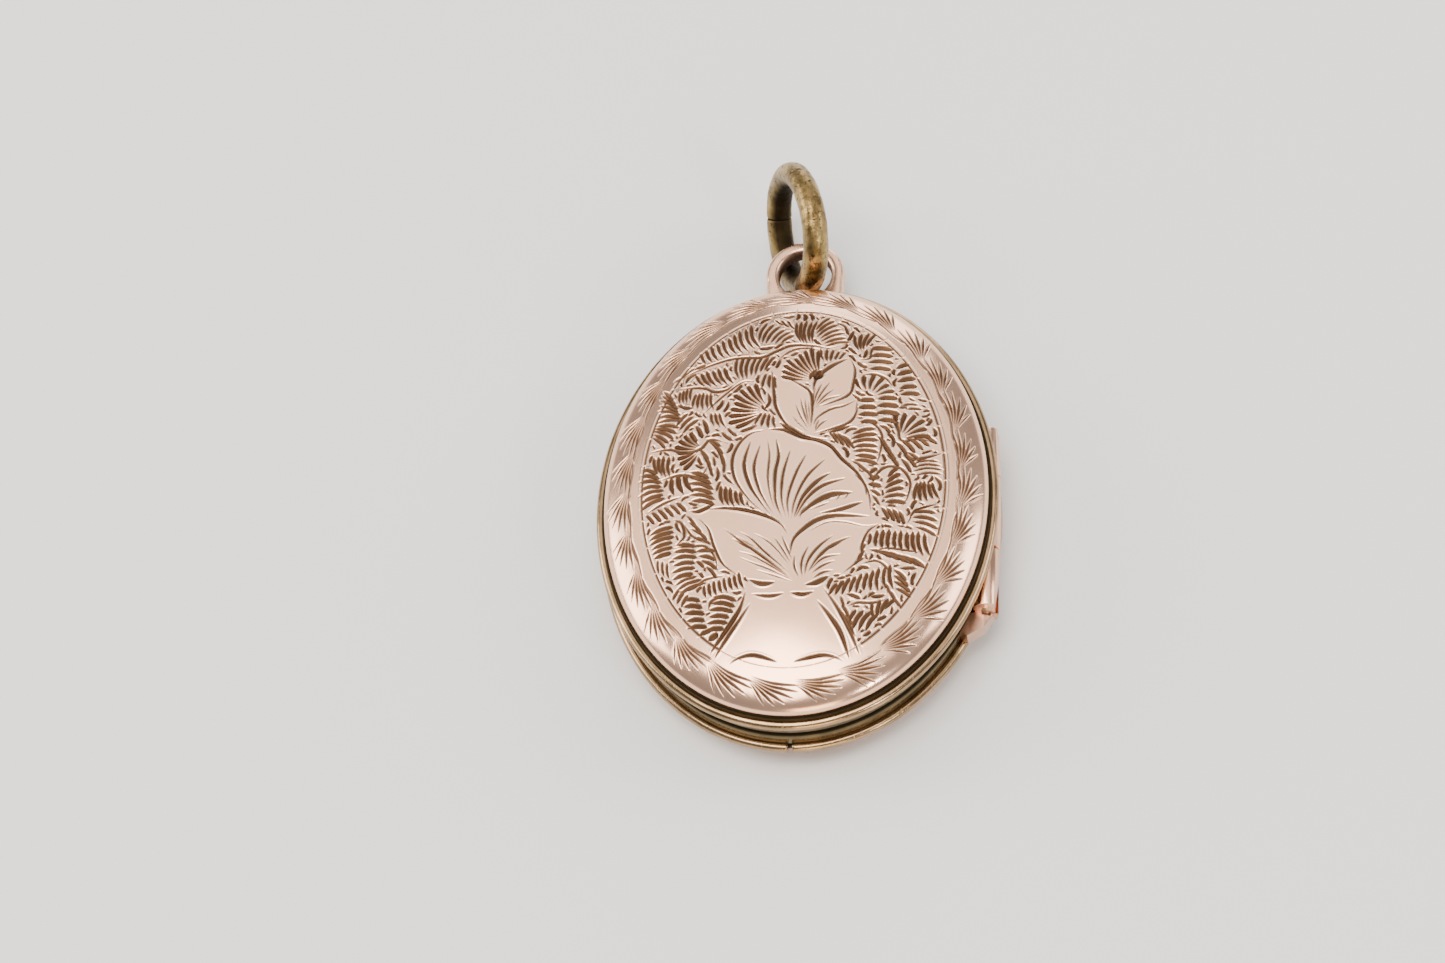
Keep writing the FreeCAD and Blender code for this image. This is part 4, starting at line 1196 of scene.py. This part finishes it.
# Rows crowd towards the edge by this power, and leave the field's own oval over the first
# sixth of the border.
CROWDING, LEAVE_RATE = 1.35, 6
# This scales both the grime in the border's grooves and the painted highlight on its crests.
BORDER_GRIME_SHEEN = 0.95
for arc in range(ARCS):
    theta = np.linspace(2 * np.pi * arc / ARCS, 2 * np.pi * (arc + 1) / ARCS, AROUND) + FIRST_ARC_AT
    t_field = level_at(FIELD_A * np.cos(theta), FIELD_B * np.sin(theta))[None, :]
    share = np.linspace(0, 1, ACROSS)[:, None]
    a_level, b_level = level_oval(t_field + (1 - t_field) * (1 - (1 - share) ** CROWDING))
    blend_in = np.clip(share * LEAVE_RATE, 0, 1)
    border_x = (a_level * blend_in + FIELD_A * (1 - blend_in)) * np.cos(theta)
    border_y = (b_level * blend_in + FIELD_B * (1 - blend_in)) * np.sin(theta)
    wall = [oval_row(theta, inset, COVER_BASE + z) for inset, z in (
        (0.0, 0.6 * LAND), (0.0, 0.25 * LAND), (0.03, 0.01), (0.35, 0.01), (0.5, 0.5),
        (FIELD_INSET, 0.66))]
    rows = np.vstack([on_the_cover(border_x, border_y), np.stack(wall)])
    first = np.arange(len(rows)) * AROUND
    last = first + AROUND - 1
    flat = rows.reshape(-1, 3)
    ends = np.vstack([cap_faces(first, len(flat)), cap_faces(last, len(flat) + 1)[:, ::-1]])
    border = make_piece("cover_border_" + str(arc + 1),
                        np.vstack([flat, flat[first].mean(0), flat[last].mean(0)]),
                        grid_faces(len(rows), AROUND, True, False), ends, body="front_half",
                        node="front_cover", rim=np.concatenate([first, last]))
    paint_grime_shade_sheen(border, BORDER_GRIME_SHEEN * read_table(grime_sheen_table, border_x, border_y))
    coat(border, cover_gold)

# %% [markdown]
# ## Swept pieces
# The wires, bands and frames are all one idea: a small closed section, given as how far
# inside the outline and how high each of its points lies, carried once round the oval.


# %% Carry a section round the oval
def oval_sweep(name, section, body, slot, node, paint, around=420, span=None, shape=None,
               crease=35, dirt_and_shade=None):
    """Carries a closed section, a list of (inset, z), round the locket's outline. span: first
    and last angle of an open sweep. shape: a function that may move the finished points.
    dirt_and_shade: grime and painted shade at each section point."""
    angles = np.linspace(*(span or (0, 2 * np.pi)), around, endpoint=span is not None)
    section = np.asarray(section, float)
    inset, z = section[:, 0][None, :], section[:, 1][None, :]
    points = np.stack([(HALF_WIDTH - inset) * np.cos(angles)[:, None],
                       (HALF_LENGTH - inset) * np.sin(angles)[:, None],
                       np.broadcast_to(z, (around, len(section)))], -1)
    if shape:
        points = shape(points)
    faces = grid_faces(around, len(section), span is None, True)
    triangles = ()
    flat = points.reshape(-1, 3)
    if span:
        first = np.arange(len(section))
        last = (around - 1) * len(section) + first
        centres = np.stack([flat[first].mean(0), flat[last].mean(0)])
        triangles = np.vstack([cap_faces(first, len(flat))[:, ::-1],
                               cap_faces(last, len(flat) + 1)])
        flat = np.vstack([flat, centres])
    piece = make_piece(name, flat, faces, triangles, body=body, node=node, crease=crease)
    if dirt_and_shade is not None:
        paint_grime_shade_sheen(piece, np.tile(dirt_and_shade, around))
    return coat(piece, paint)


def round_section(inset, z, radius, sides=20):
    """A circle of points round (inset, z)."""
    turn = np.linspace(0, 2 * np.pi, sides, endpoint=False)
    return np.stack([inset + radius * np.cos(turn), z + radius * np.sin(turn)], 1)


def drawn_by_hand(points):
    """Hand-bent wire wanders by a few hundredths of a millimetre along its length."""
    angle = np.arctan2(points[..., 1], points[..., 0])
    wander = (0.010 * np.sin(7 * angle + 0.6) + 0.006 * np.sin(17 * angle)
              + 0.004 * np.sin(41 * angle + 2))
    out = points.copy()
    out[..., 2] += wander
    return out


print("a sweep goes round", round(2 * HALF_WIDTH, 1), "by", round(2 * HALF_LENGTH, 1), "mm")

# %% [markdown]
# A wire is painted darker, as dirt and shade, on the side that touches the band. The rear wire's
# two ends stand a hair apart, a little to one side of the bottom.

# %% The two edge wires
GAP_AT, GAP_HALF = math.radians(270) - 0.036, 0.0118
# Painted shade and dirt on the half of the wire's round that faces the band.
wire_shade_dirt = np.clip(1.6 * np.cos(np.linspace(0, 2 * np.pi, 20, endpoint=False)) - 0.2, 0, 1)
wire_ways = {"around": 560, "shape": drawn_by_hand, "crease": None, "dirt_and_shade": wire_shade_dirt}
oval_sweep("edge_wire_front", round_section(WIRE_R, WIRE_FRONT_Z, WIRE_R), "front_half",
           "rim_gold", "front_edge_wire", wire_gold, **wire_ways)
oval_sweep("edge_wire_rear", round_section(WIRE_R, WIRE_REAR_Z, WIRE_R), "rear_half",
           "rim_gold", "rear_edge_wire", wire_gold,
           span=(GAP_AT + GAP_HALF - 2 * np.pi, GAP_AT - GAP_HALF), **wire_ways)

# %% [markdown]
# The bands have to leave room for the barrel of the hinge. Points of a band that would
# fall inside the barrel's space are pushed up, or down, until they lie on its round.

# %% The side bands
BARREL_LOW = float(box_mm("rear_knuckle_lower")[0][1])
BARREL_HIGH = float(box_mm("rear_knuckle_upper")[1][1])
ROOM_ROUND, ROOM_ENDS = 0.08, 0.08
ROOM_R = KNUCKLE_R + ROOM_ROUND
BAND_THICK = 0.45


def clear_of_barrel(upwards):
    """Moves points out of the barrel's space, up for the front half and down for the rear."""
    def shape(points):
        out = points.copy()
        x, y, z = (points[..., k] for k in range(3))
        near = ((y > BARREL_LOW - ROOM_ENDS) & (y < BARREL_HIGH + ROOM_ENDS)
                & (np.abs(x - HINGE_X) < ROOM_R))
        room = np.sqrt(np.clip(ROOM_R ** 2 - (x - HINGE_X) ** 2, 0, None))
        moved = np.maximum(z, HINGE_Z + room) if upwards else np.minimum(z, HINGE_Z - room)
        out[..., 2] = np.where(near, moved, z)
        return out
    return shape


def band_section(z_seam, z_cover, wire_z):
    """A band with a small step at the seam and a round seat for the wire."""
    sign = 1 if z_cover > z_seam else -1
    i, back_of_band = RIM_INSET, RIM_INSET + BAND_THICK
    step = [(i + 0.12, z_seam), (i + 0.10, z_seam + 0.07 * sign), (i + 0.02, z_seam + 0.12 * sign),
            (i, z_seam + 0.17 * sign), (i, z_seam + 0.40 * sign)]
    seat = [(i + 0.10 * math.cos(a), wire_z + 0.22 * math.sin(a) * sign)
            for a in np.linspace(-math.pi / 2, math.pi / 2, 7)]
    top = [(i, z_cover - 0.04 * sign), (i + 0.05, z_cover)]
    inside = [(back_of_band, z) for z in (z_cover, (z_seam + z_cover) / 2, z_seam)]
    return step + seat + top + inside


# Painted shade and dirt lie in the step at the seam, in the seat of the wire and under the cover's
# edge.
STEP_SHADE_DIRT, SEAT_SHADE_DIRT = [1.0, 1.0, 0.8, 0.35, 0.1], [0.2, 0.8, 1.0, 1.0, 1.0, 0.8, 0.5]
TOP_SHADE_DIRT, INSIDE_SHADE_DIRT = [0.9, 1.0], [0, 0, 0]
band_shade_dirt = np.array(STEP_SHADE_DIRT + SEAT_SHADE_DIRT + TOP_SHADE_DIRT + INSIDE_SHADE_DIRT)
oval_sweep("band_front", band_section(RIM_FRONT[0], RIM_FRONT[1], WIRE_FRONT_Z), "front_half",
           "rim_gold", "front_rim", rim_gold, around=720, shape=clear_of_barrel(True),
           dirt_and_shade=band_shade_dirt)
oval_sweep("band_rear", band_section(RIM_REAR[1], RIM_REAR[0], WIRE_REAR_Z), "rear_half",
           "rim_gold", "rear_rim", rim_gold, around=720, shape=clear_of_barrel(False),
           dirt_and_shade=band_shade_dirt)

# %% [markdown]
# ## The back cover
# The back is plain: a shallow dome with a flat middle that the locket lies on, worn by
# a hundred years of lying on it.

# %% The back cover
REAR_FLAT, BACK_SWELL = 0.55, 2.2
BACK_AROUND = 360
BACK_INSIDE_Z = 0.38
back_top = RIM_REAR[0]
back_turn = np.linspace(0, 2 * np.pi, BACK_AROUND, endpoint=False)
rounded = REAR_FLAT + (1 - REAR_FLAT) * np.sin(np.linspace(0, np.pi / 2, 26)[1:])
rows = []
for t in np.concatenate([np.linspace(0.02, REAR_FLAT, 14), rounded]):
    a, b = level_oval(t)
    past_flat = max(0.0, (t - REAR_FLAT) / (1 - REAR_FLAT))
    z = (back_top - LAND) * (1 - math.sqrt(max(0.0, 1 - past_flat ** BACK_SWELL)))
    rows.append(np.stack([a * np.cos(back_turn), b * np.sin(back_turn),
                          np.full(BACK_AROUND, z)], -1))
for inset, z in ((0, back_top - 0.06), (0.02, back_top - 0.01), (0.35, back_top - 0.01),
                 (0.5, back_top - 0.5), (3.5, BACK_INSIDE_Z)):
    rows.append(oval_row(back_turn, inset, z))
points = np.stack(rows).reshape(-1, 3)
centres = [[0, 0, 0.0], [0, 0, BACK_INSIDE_Z]]
first = np.arange(BACK_AROUND)
last = (len(rows) - 1) * BACK_AROUND + first
caps = np.vstack([cap_faces(first, len(points))[:, ::-1], cap_faces(last, len(points) + 1)])
back_cover = make_piece("back_cover", np.vstack([points, centres]),
                        grid_faces(len(rows), BACK_AROUND, False, True), caps,
                        body="rear_half", node="rear_cover")
coat(back_cover, plain_gold)

# %% [markdown]
# ## The hinge
# Three knuckles on one pin. Each is a short tube with softened ends, filed on the
# outside to follow the oval. A knuckle is a ring section turned about the hinge axis.

# %% Knuckles and pin
# The knuckles are filed down to an arc, this far out at its middle and this long to its tip.
FILED_OUT, FILED_TIP = 10.02, 24.0
SOFT_EDGE, SOFT_BULGE = 0.05, 0.015
FRONT_BORE_PLAY = 0.02
PIN_CENTRE_R = 0.001


def turned_about_hinge(name, profile, body, node, paint, sides=56, filed=True):
    """profile: closed or end-to-end list of (radius, y), turned about the hinge axis."""
    turn = np.linspace(0, 2 * np.pi, sides, endpoint=False)
    radius, y = np.asarray(profile, float).T
    points = np.stack([HINGE_X + radius[:, None] * np.cos(turn),
                       np.broadcast_to(y[:, None], (len(y), sides)),
                       HINGE_Z + radius[:, None] * np.sin(turn)], -1)
    if filed:
        limit = FILED_OUT * np.sqrt(1 - (points[..., 1] / FILED_TIP) ** 2)
        points[..., 0] = np.minimum(points[..., 0], limit)
    piece = make_piece(name, points, grid_faces(len(y), sides, True, True),
                       body=body, node=node, crease=40)
    return coat(piece, paint)


def knuckle_profile(low, high, bore):
    """A tube from low to high with softened outer edges."""
    outer = [(KNUCKLE_R - SOFT_EDGE, 0), (KNUCKLE_R - SOFT_BULGE, SOFT_BULGE),
             (KNUCKLE_R, SOFT_EDGE)]
    middle = (low + high) / 2
    return ([(bore, low)] + [(r, low + h) for r, h in outer] + [(KNUCKLE_R, middle)]
            + [(r, high - h) for r, h in outer[::-1]] + [(bore, high), (bore, middle)])


for node, body, bore in (("rear_knuckle_upper", "rear_half", PIN_R),
                         ("front_knuckle", "front_half", PIN_R + FRONT_BORE_PLAY),
                         ("rear_knuckle_lower", "rear_half", PIN_R)):
    low, high = box_mm(node)
    turned_about_hinge(node.replace("knuckle", "barrel"), knuckle_profile(low[1], high[1], bore),
                       body, node, plain_gold)
PIN_END = ((PIN_CENTRE_R, 0), (PIN_R * 0.7, 0.01), (PIN_R, 0.05))
pin_profile = ([(r, float(pin_low[1]) + h) for r, h in PIN_END]
               + [(r, float(pin_high[1]) - h) for r, h in PIN_END[::-1]])
turned_about_hinge("pin", pin_profile, "rear_half", "hinge_pin", pin_gold, sides=24,
                   filed=False)

# %% [markdown]
# The seats are the small saddles soldered between the bands and the knuckles. Their
# flat faces are right as the solid model has them, so they keep that mesh and only get
# the worn metal.

# %% Hinge seats
for node in ("rear_hinge_seat", "front_hinge_seat"):
    coat(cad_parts[node], seat_gold)
print("seats coated")

# %% [markdown]
# ## Bail eye and jump ring
# Both are rings: a small section turned about an axis. The eye's section is taller than
# it is wide. The ring's wire is round, but thinner at its joint and dented all over.

# %% The bail eye
EYE_HOLE_R, EYE_OUTER_R, EYE_FOOT_Y = 1.33, 2.0, 12.3
EYE_AROUND, EYE_SIDES = 240, 36
EYE_SQUARENESS = 0.6
eye_low, eye_high = box_mm("bail_eye")
EYE_Y = float(eye_high[1]) - EYE_OUTER_R
EYE_Z = float(eye_low[2] + eye_high[2]) / 2
EYE_HALF = float(eye_high[2] - eye_low[2]) / 2


def squared(wave):
    """A cosine or sine made squarer: its size to the power EYE_SQUARENESS, its sign kept."""
    return np.sign(wave) * np.abs(wave) ** EYE_SQUARENESS


turn = np.linspace(0, 2 * np.pi, EYE_AROUND, endpoint=False)[:, None]
bend = np.linspace(0, 2 * np.pi, EYE_SIDES, endpoint=False)[None, :]
straight = np.minimum((EYE_OUTER_R - 0.04) / np.maximum(np.abs(np.cos(turn)), 1e-6),
                      (EYE_Y - EYE_FOOT_Y) / np.maximum(np.abs(np.sin(turn)), 1e-6))
limb = (np.where(np.sin(turn) < -0.2, straight, EYE_OUTER_R) - EYE_HOLE_R) / 2
radius = EYE_HOLE_R + limb + limb * squared(np.cos(bend))
eye_z = EYE_Z + EYE_HALF * squared(np.sin(bend)) + 0 * turn
eye_points = np.stack([radius * np.cos(turn), EYE_Y + radius * np.sin(turn), eye_z], -1)
eye = make_piece("eye", eye_points, grid_faces(EYE_AROUND, EYE_SIDES, True, True),
                 body="rear_half", node="bail_eye")
# The inner side of the eye's limb, round the hole, is painted dark: painted shade.
paint_grime_shade_sheen(eye, np.clip(-np.cos(bend) * 1.5 - 0.6, 0, 1) + 0 * turn)
coat(eye, eye_gold)

# %% [markdown]
# The jump ring is a round wire bent into a ring, with dents all over and a narrow waist
# at the joint where its two ends meet. Dirt is painted at the joint, and painted shade and dirt on
# the inside of the bend.

# %% The jump ring
RING_CENTRE = np.array([-0.304, 16.640, 3.400])
RING_AXIS = np.array([0.9128, 0.2769, -0.3002])
RING_AXIS = RING_AXIS / np.linalg.norm(RING_AXIS)
RING_R, RING_WIRE = 2.85, 0.66
RINGS, SIDES = 420, 64
JOINT_AT, JOINT_WIDTH, JOINT_DEPTH = math.radians(322), 0.07, 0.05
DENT_ROOM = 0.018
side = np.cross([0, 0, 1.0], RING_AXIS)
side /= np.linalg.norm(side)
top = np.cross(RING_AXIS, side)
phi = np.linspace(0, 2 * np.pi, RINGS, endpoint=False)[:, None]
psi = np.linspace(0, 2 * np.pi, SIDES, endpoint=False)[None, :]
dents = (0.010 * np.sin(5 * phi + 1.3 * np.sin(2 * psi)) * np.cos(3 * psi + 0.7)
         + 0.007 * np.sin(13 * phi + 2 * psi) * np.cos(5 * psi - 4 * phi)
         + 0.004 * np.sin(31 * phi - 3 * psi + 2 * np.sin(7 * psi)))
joint = np.exp(-((phi - JOINT_AT) * RING_R / JOINT_WIDTH) ** 2)
wire = RING_WIRE - DENT_ROOM + dents - JOINT_DEPTH * joint
spoke = np.cos(phi)[..., None] * side + np.sin(phi)[..., None] * top
outward = (RING_R + wire * np.cos(psi))[..., None] * spoke
ring_points = RING_CENTRE + outward + (wire * np.sin(psi))[..., None] * RING_AXIS
ring = make_piece("ring", ring_points, grid_faces(RINGS, SIDES, True, True), body="jump_ring",
                  node="jump_ring")
# Painted shade and dirt on the inside of the bend.
inner_painted_shade = 0.95 * np.clip(-1.5 * np.cos(psi) - 0.25, 0, 1)
paint_grime_shade_sheen(ring, np.clip(np.maximum(joint * 1.2, inner_painted_shade), 0, 1))
coat(ring, ring_gold)

# %% [markdown]
# ## Inside
# Each half holds a blank picture card under a clear window, in a gilt frame pressed into
# the band. The rear band also carries the thin lip that the front half snaps over.

# %% The lip
LIP_ROOM_ENDS = 0.5
LIP_THICK = 0.30
lip_low, lip_high = (float(corner[2]) for corner in box_mm("closing_lip"))
inner = RIM_INSET + BAND_THICK
lip_section = [(inner, lip_low), (inner, RIM_REAR[1]), (inner + 0.06, RIM_REAR[1]),
               (inner + 0.06, lip_high - 0.08), (inner + 0.10, lip_high - 0.02),
               (inner + 0.16, lip_high), (inner + 0.24, lip_high - 0.04),
               (inner + LIP_THICK, lip_high - 0.12), (inner + LIP_THICK, lip_low)]
lip_start = math.asin((BARREL_HIGH + LIP_ROOM_ENDS) / (HALF_LENGTH - inner))
lip_end = math.asin((BARREL_LOW - LIP_ROOM_ENDS) / (HALF_LENGTH - inner)) + 2 * np.pi
oval_sweep("snap_lip", lip_section, "rear_half", "rim_gold", "closing_lip", inner_gold,
           span=(lip_start, lip_end))

# %% [markdown]
# The frames go all the way round, so they are flattened where the hinge needs its room.

# %% The frames
FRAME_ROOM_ENDS = 0.1


def out_of_the_hinge(points):
    """Slides points that would enter the barrel's space back towards the middle."""
    out = points.copy()
    x, y, dz = points[..., 0], points[..., 1], points[..., 2] - HINGE_Z
    near = ((y > BARREL_LOW - FRAME_ROOM_ENDS) & (y < BARREL_HIGH + FRAME_ROOM_ENDS)
            & (np.abs(dz) < ROOM_R))
    limit = HINGE_X - np.sqrt(np.clip(ROOM_R ** 2 - dz ** 2, 0, None))
    out[..., 0] = np.where(near, np.minimum(x, limit), x)
    return out


def frame_section(outer, low, high, face):
    """A moulded frame: a bead, a hollow and a thin inner edge. face is +1 if it looks up."""
    height = high - low
    level = [(outer, 0.0), (outer, height - 0.05), (outer + 0.05, height),
             (outer + 0.12, height - 0.02), (outer + 0.18, height - 0.10),
             (outer + 0.26, height - 0.12), (outer + 0.34, height - 0.06),
             (outer + 0.46, height - 0.03), (outer + 0.60, height - 0.06),
             (outer + 0.72, height - 0.16), (outer + 0.80, height - 0.22),
             (outer + 0.85, height - 0.27), (outer + 0.85, height - 0.32),
             (outer + 0.45, height - 0.32), (outer + 0.45, 0.0)]
    return [(i, low + h if face > 0 else high - h) for i, h in level]


for half, outer, face in (("rear", inner + LIP_THICK, 1), ("front", inner, -1)):
    low, high = box_mm(half + "_photo_frame")
    oval_sweep("picture_frame_" + half, frame_section(outer, low[2], high[2], face),
               half + "_half", "inner_gilt", half + "_photo_frame", inner_gold, around=480,
               shape=out_of_the_hinge)

# %% [markdown]
# The windows are thin clear plates, a little domed. The cards are blank and aged, spotted
# with foxing; no picture is made up for them.


# %% An oval plate
def oval_plate(name, a, b, low, high, bulge, body, node, paint, rings=18, around=200):
    """A lens: the faces at low and high, one of them swelling by bulge times one minus the
    square of the share of the way out, towards the side that bulge points to."""
    turn = np.linspace(0, 2 * np.pi, around, endpoint=False)
    share = np.concatenate([np.linspace(0.04, 1, rings), np.linspace(1, 0.04, rings)])
    lift_top = max(bulge, 0) * (1 - share[:rings] ** 2)
    lift_low = min(bulge, 0) * (1 - share[rings:] ** 2)
    z = np.concatenate([high + lift_top, low + lift_low])
    points = np.stack([share[:, None] * a * np.cos(turn), share[:, None] * b * np.sin(turn),
                       np.broadcast_to(z[:, None], (2 * rings, around))], -1).reshape(-1, 3)
    first = np.arange(around)
    last = (2 * rings - 1) * around + first
    centres = [[0, 0, z[0]], [0, 0, z[-1]]]
    triangles = np.vstack([cap_faces(first, len(points))[:, ::-1],
                           cap_faces(last, len(points) + 1)])
    piece = make_piece(name, np.vstack([points, centres]),
                       grid_faces(2 * rings, around, False, True), triangles,
                       body=body, node=node, crease=40)
    return coat(piece, paint)


window_low, window_high = box_mm("rear_crystal")
print("room for a window:", np.round(window_high - window_low, 2), "mm")

# %% [markdown]
# The window is clear, with the hairline scratches of the group above. The card is a warm
# cream, cloudy and spotted.

# %% Glass and card
window, window_tree, glass = new_paint("clear window")
glass.inputs["Base Color"].default_value = (0.97, 0.98, 0.97, 1)
glass.inputs["Transmission Weight"].default_value = 1.0
glass.inputs["IOR"].default_value = 1.46
glass.inputs["Metallic"].default_value = 0.0
window_lines = add(window_tree, "ShaderNodeGroup", [("Amount", 0.5)], node_tree=hairs)
window_rough = add(window_tree, "ShaderNodeMapRange", [
    ("Value", window_lines.outputs["Mask"]), ("To Min", 0.02), ("To Max", 0.22)])
feed(window_tree, glass, [("Roughness", window_rough.outputs["Result"])])

card, card_tree, paper = new_paint("aged card")
card_tone = add(card_tree, "ShaderNodeGroup", [
    ("Color A", (0.72, 0.60, 0.43, 1)), ("Color B", (0.56, 0.43, 0.28, 1)),
    ("Patch size mm", 2.5), ("Contrast", 1.8)], node_tree=tone)
card_spots = add(card_tree, "ShaderNodeGroup", [
    ("Color", card_tone.outputs["Color"]), ("Grime", (0.36, 0.23, 0.12, 1)), ("Specks", 0.7),
    ("Speck size mm", 0.7)], node_tree=grime_shade_sheen)
card_rough = add(card_tree, "ShaderNodeMapRange", [
    ("Value", card_spots.outputs["Mask"]), ("To Min", 0.75), ("To Max", 0.95)])
feed(card_tree, paper, [("Base Color", card_spots.outputs["Color"]),
                        ("Roughness", card_rough.outputs["Result"])])

print("finishes:", window.name, "and", card.name)

# %% [markdown]
# A card is kept a hair thinner than its room, so that it never shares a face with the
# window over it.

# %% Windows and cards
CARD_GAP = 0.03
WINDOW_BULGE = 0.16
for half, bulge in (("rear", WINDOW_BULGE), ("front", -WINDOW_BULGE)):
    low, high = box_mm(half + "_crystal")
    oval_plate(half + "_window", high[0], high[1], low[2], high[2], bulge, half + "_half",
               half + "_crystal", window)
    low, high = box_mm(half + "_photo_card")
    oval_plate(half + "_card", high[0], high[1], low[2] + CARD_GAP, high[2] - CARD_GAP, 0.0,
               half + "_half", half + "_photo_card", card)

# %% [markdown]
# The linings are plain plates behind the cards. They keep the solid model's mesh too.

# %% Linings
for node in ("rear_lining", "front_lining"):
    coat(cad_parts[node], inner_gold)
print("linings coated")

# %% [markdown]
# Last, the box that the finished pieces fill is found and printed.

# %% Sizes and finish
low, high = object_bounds()
print("finished model, mm:", [round((b - a) * 1000, 2) for a, b in zip(low, high)])
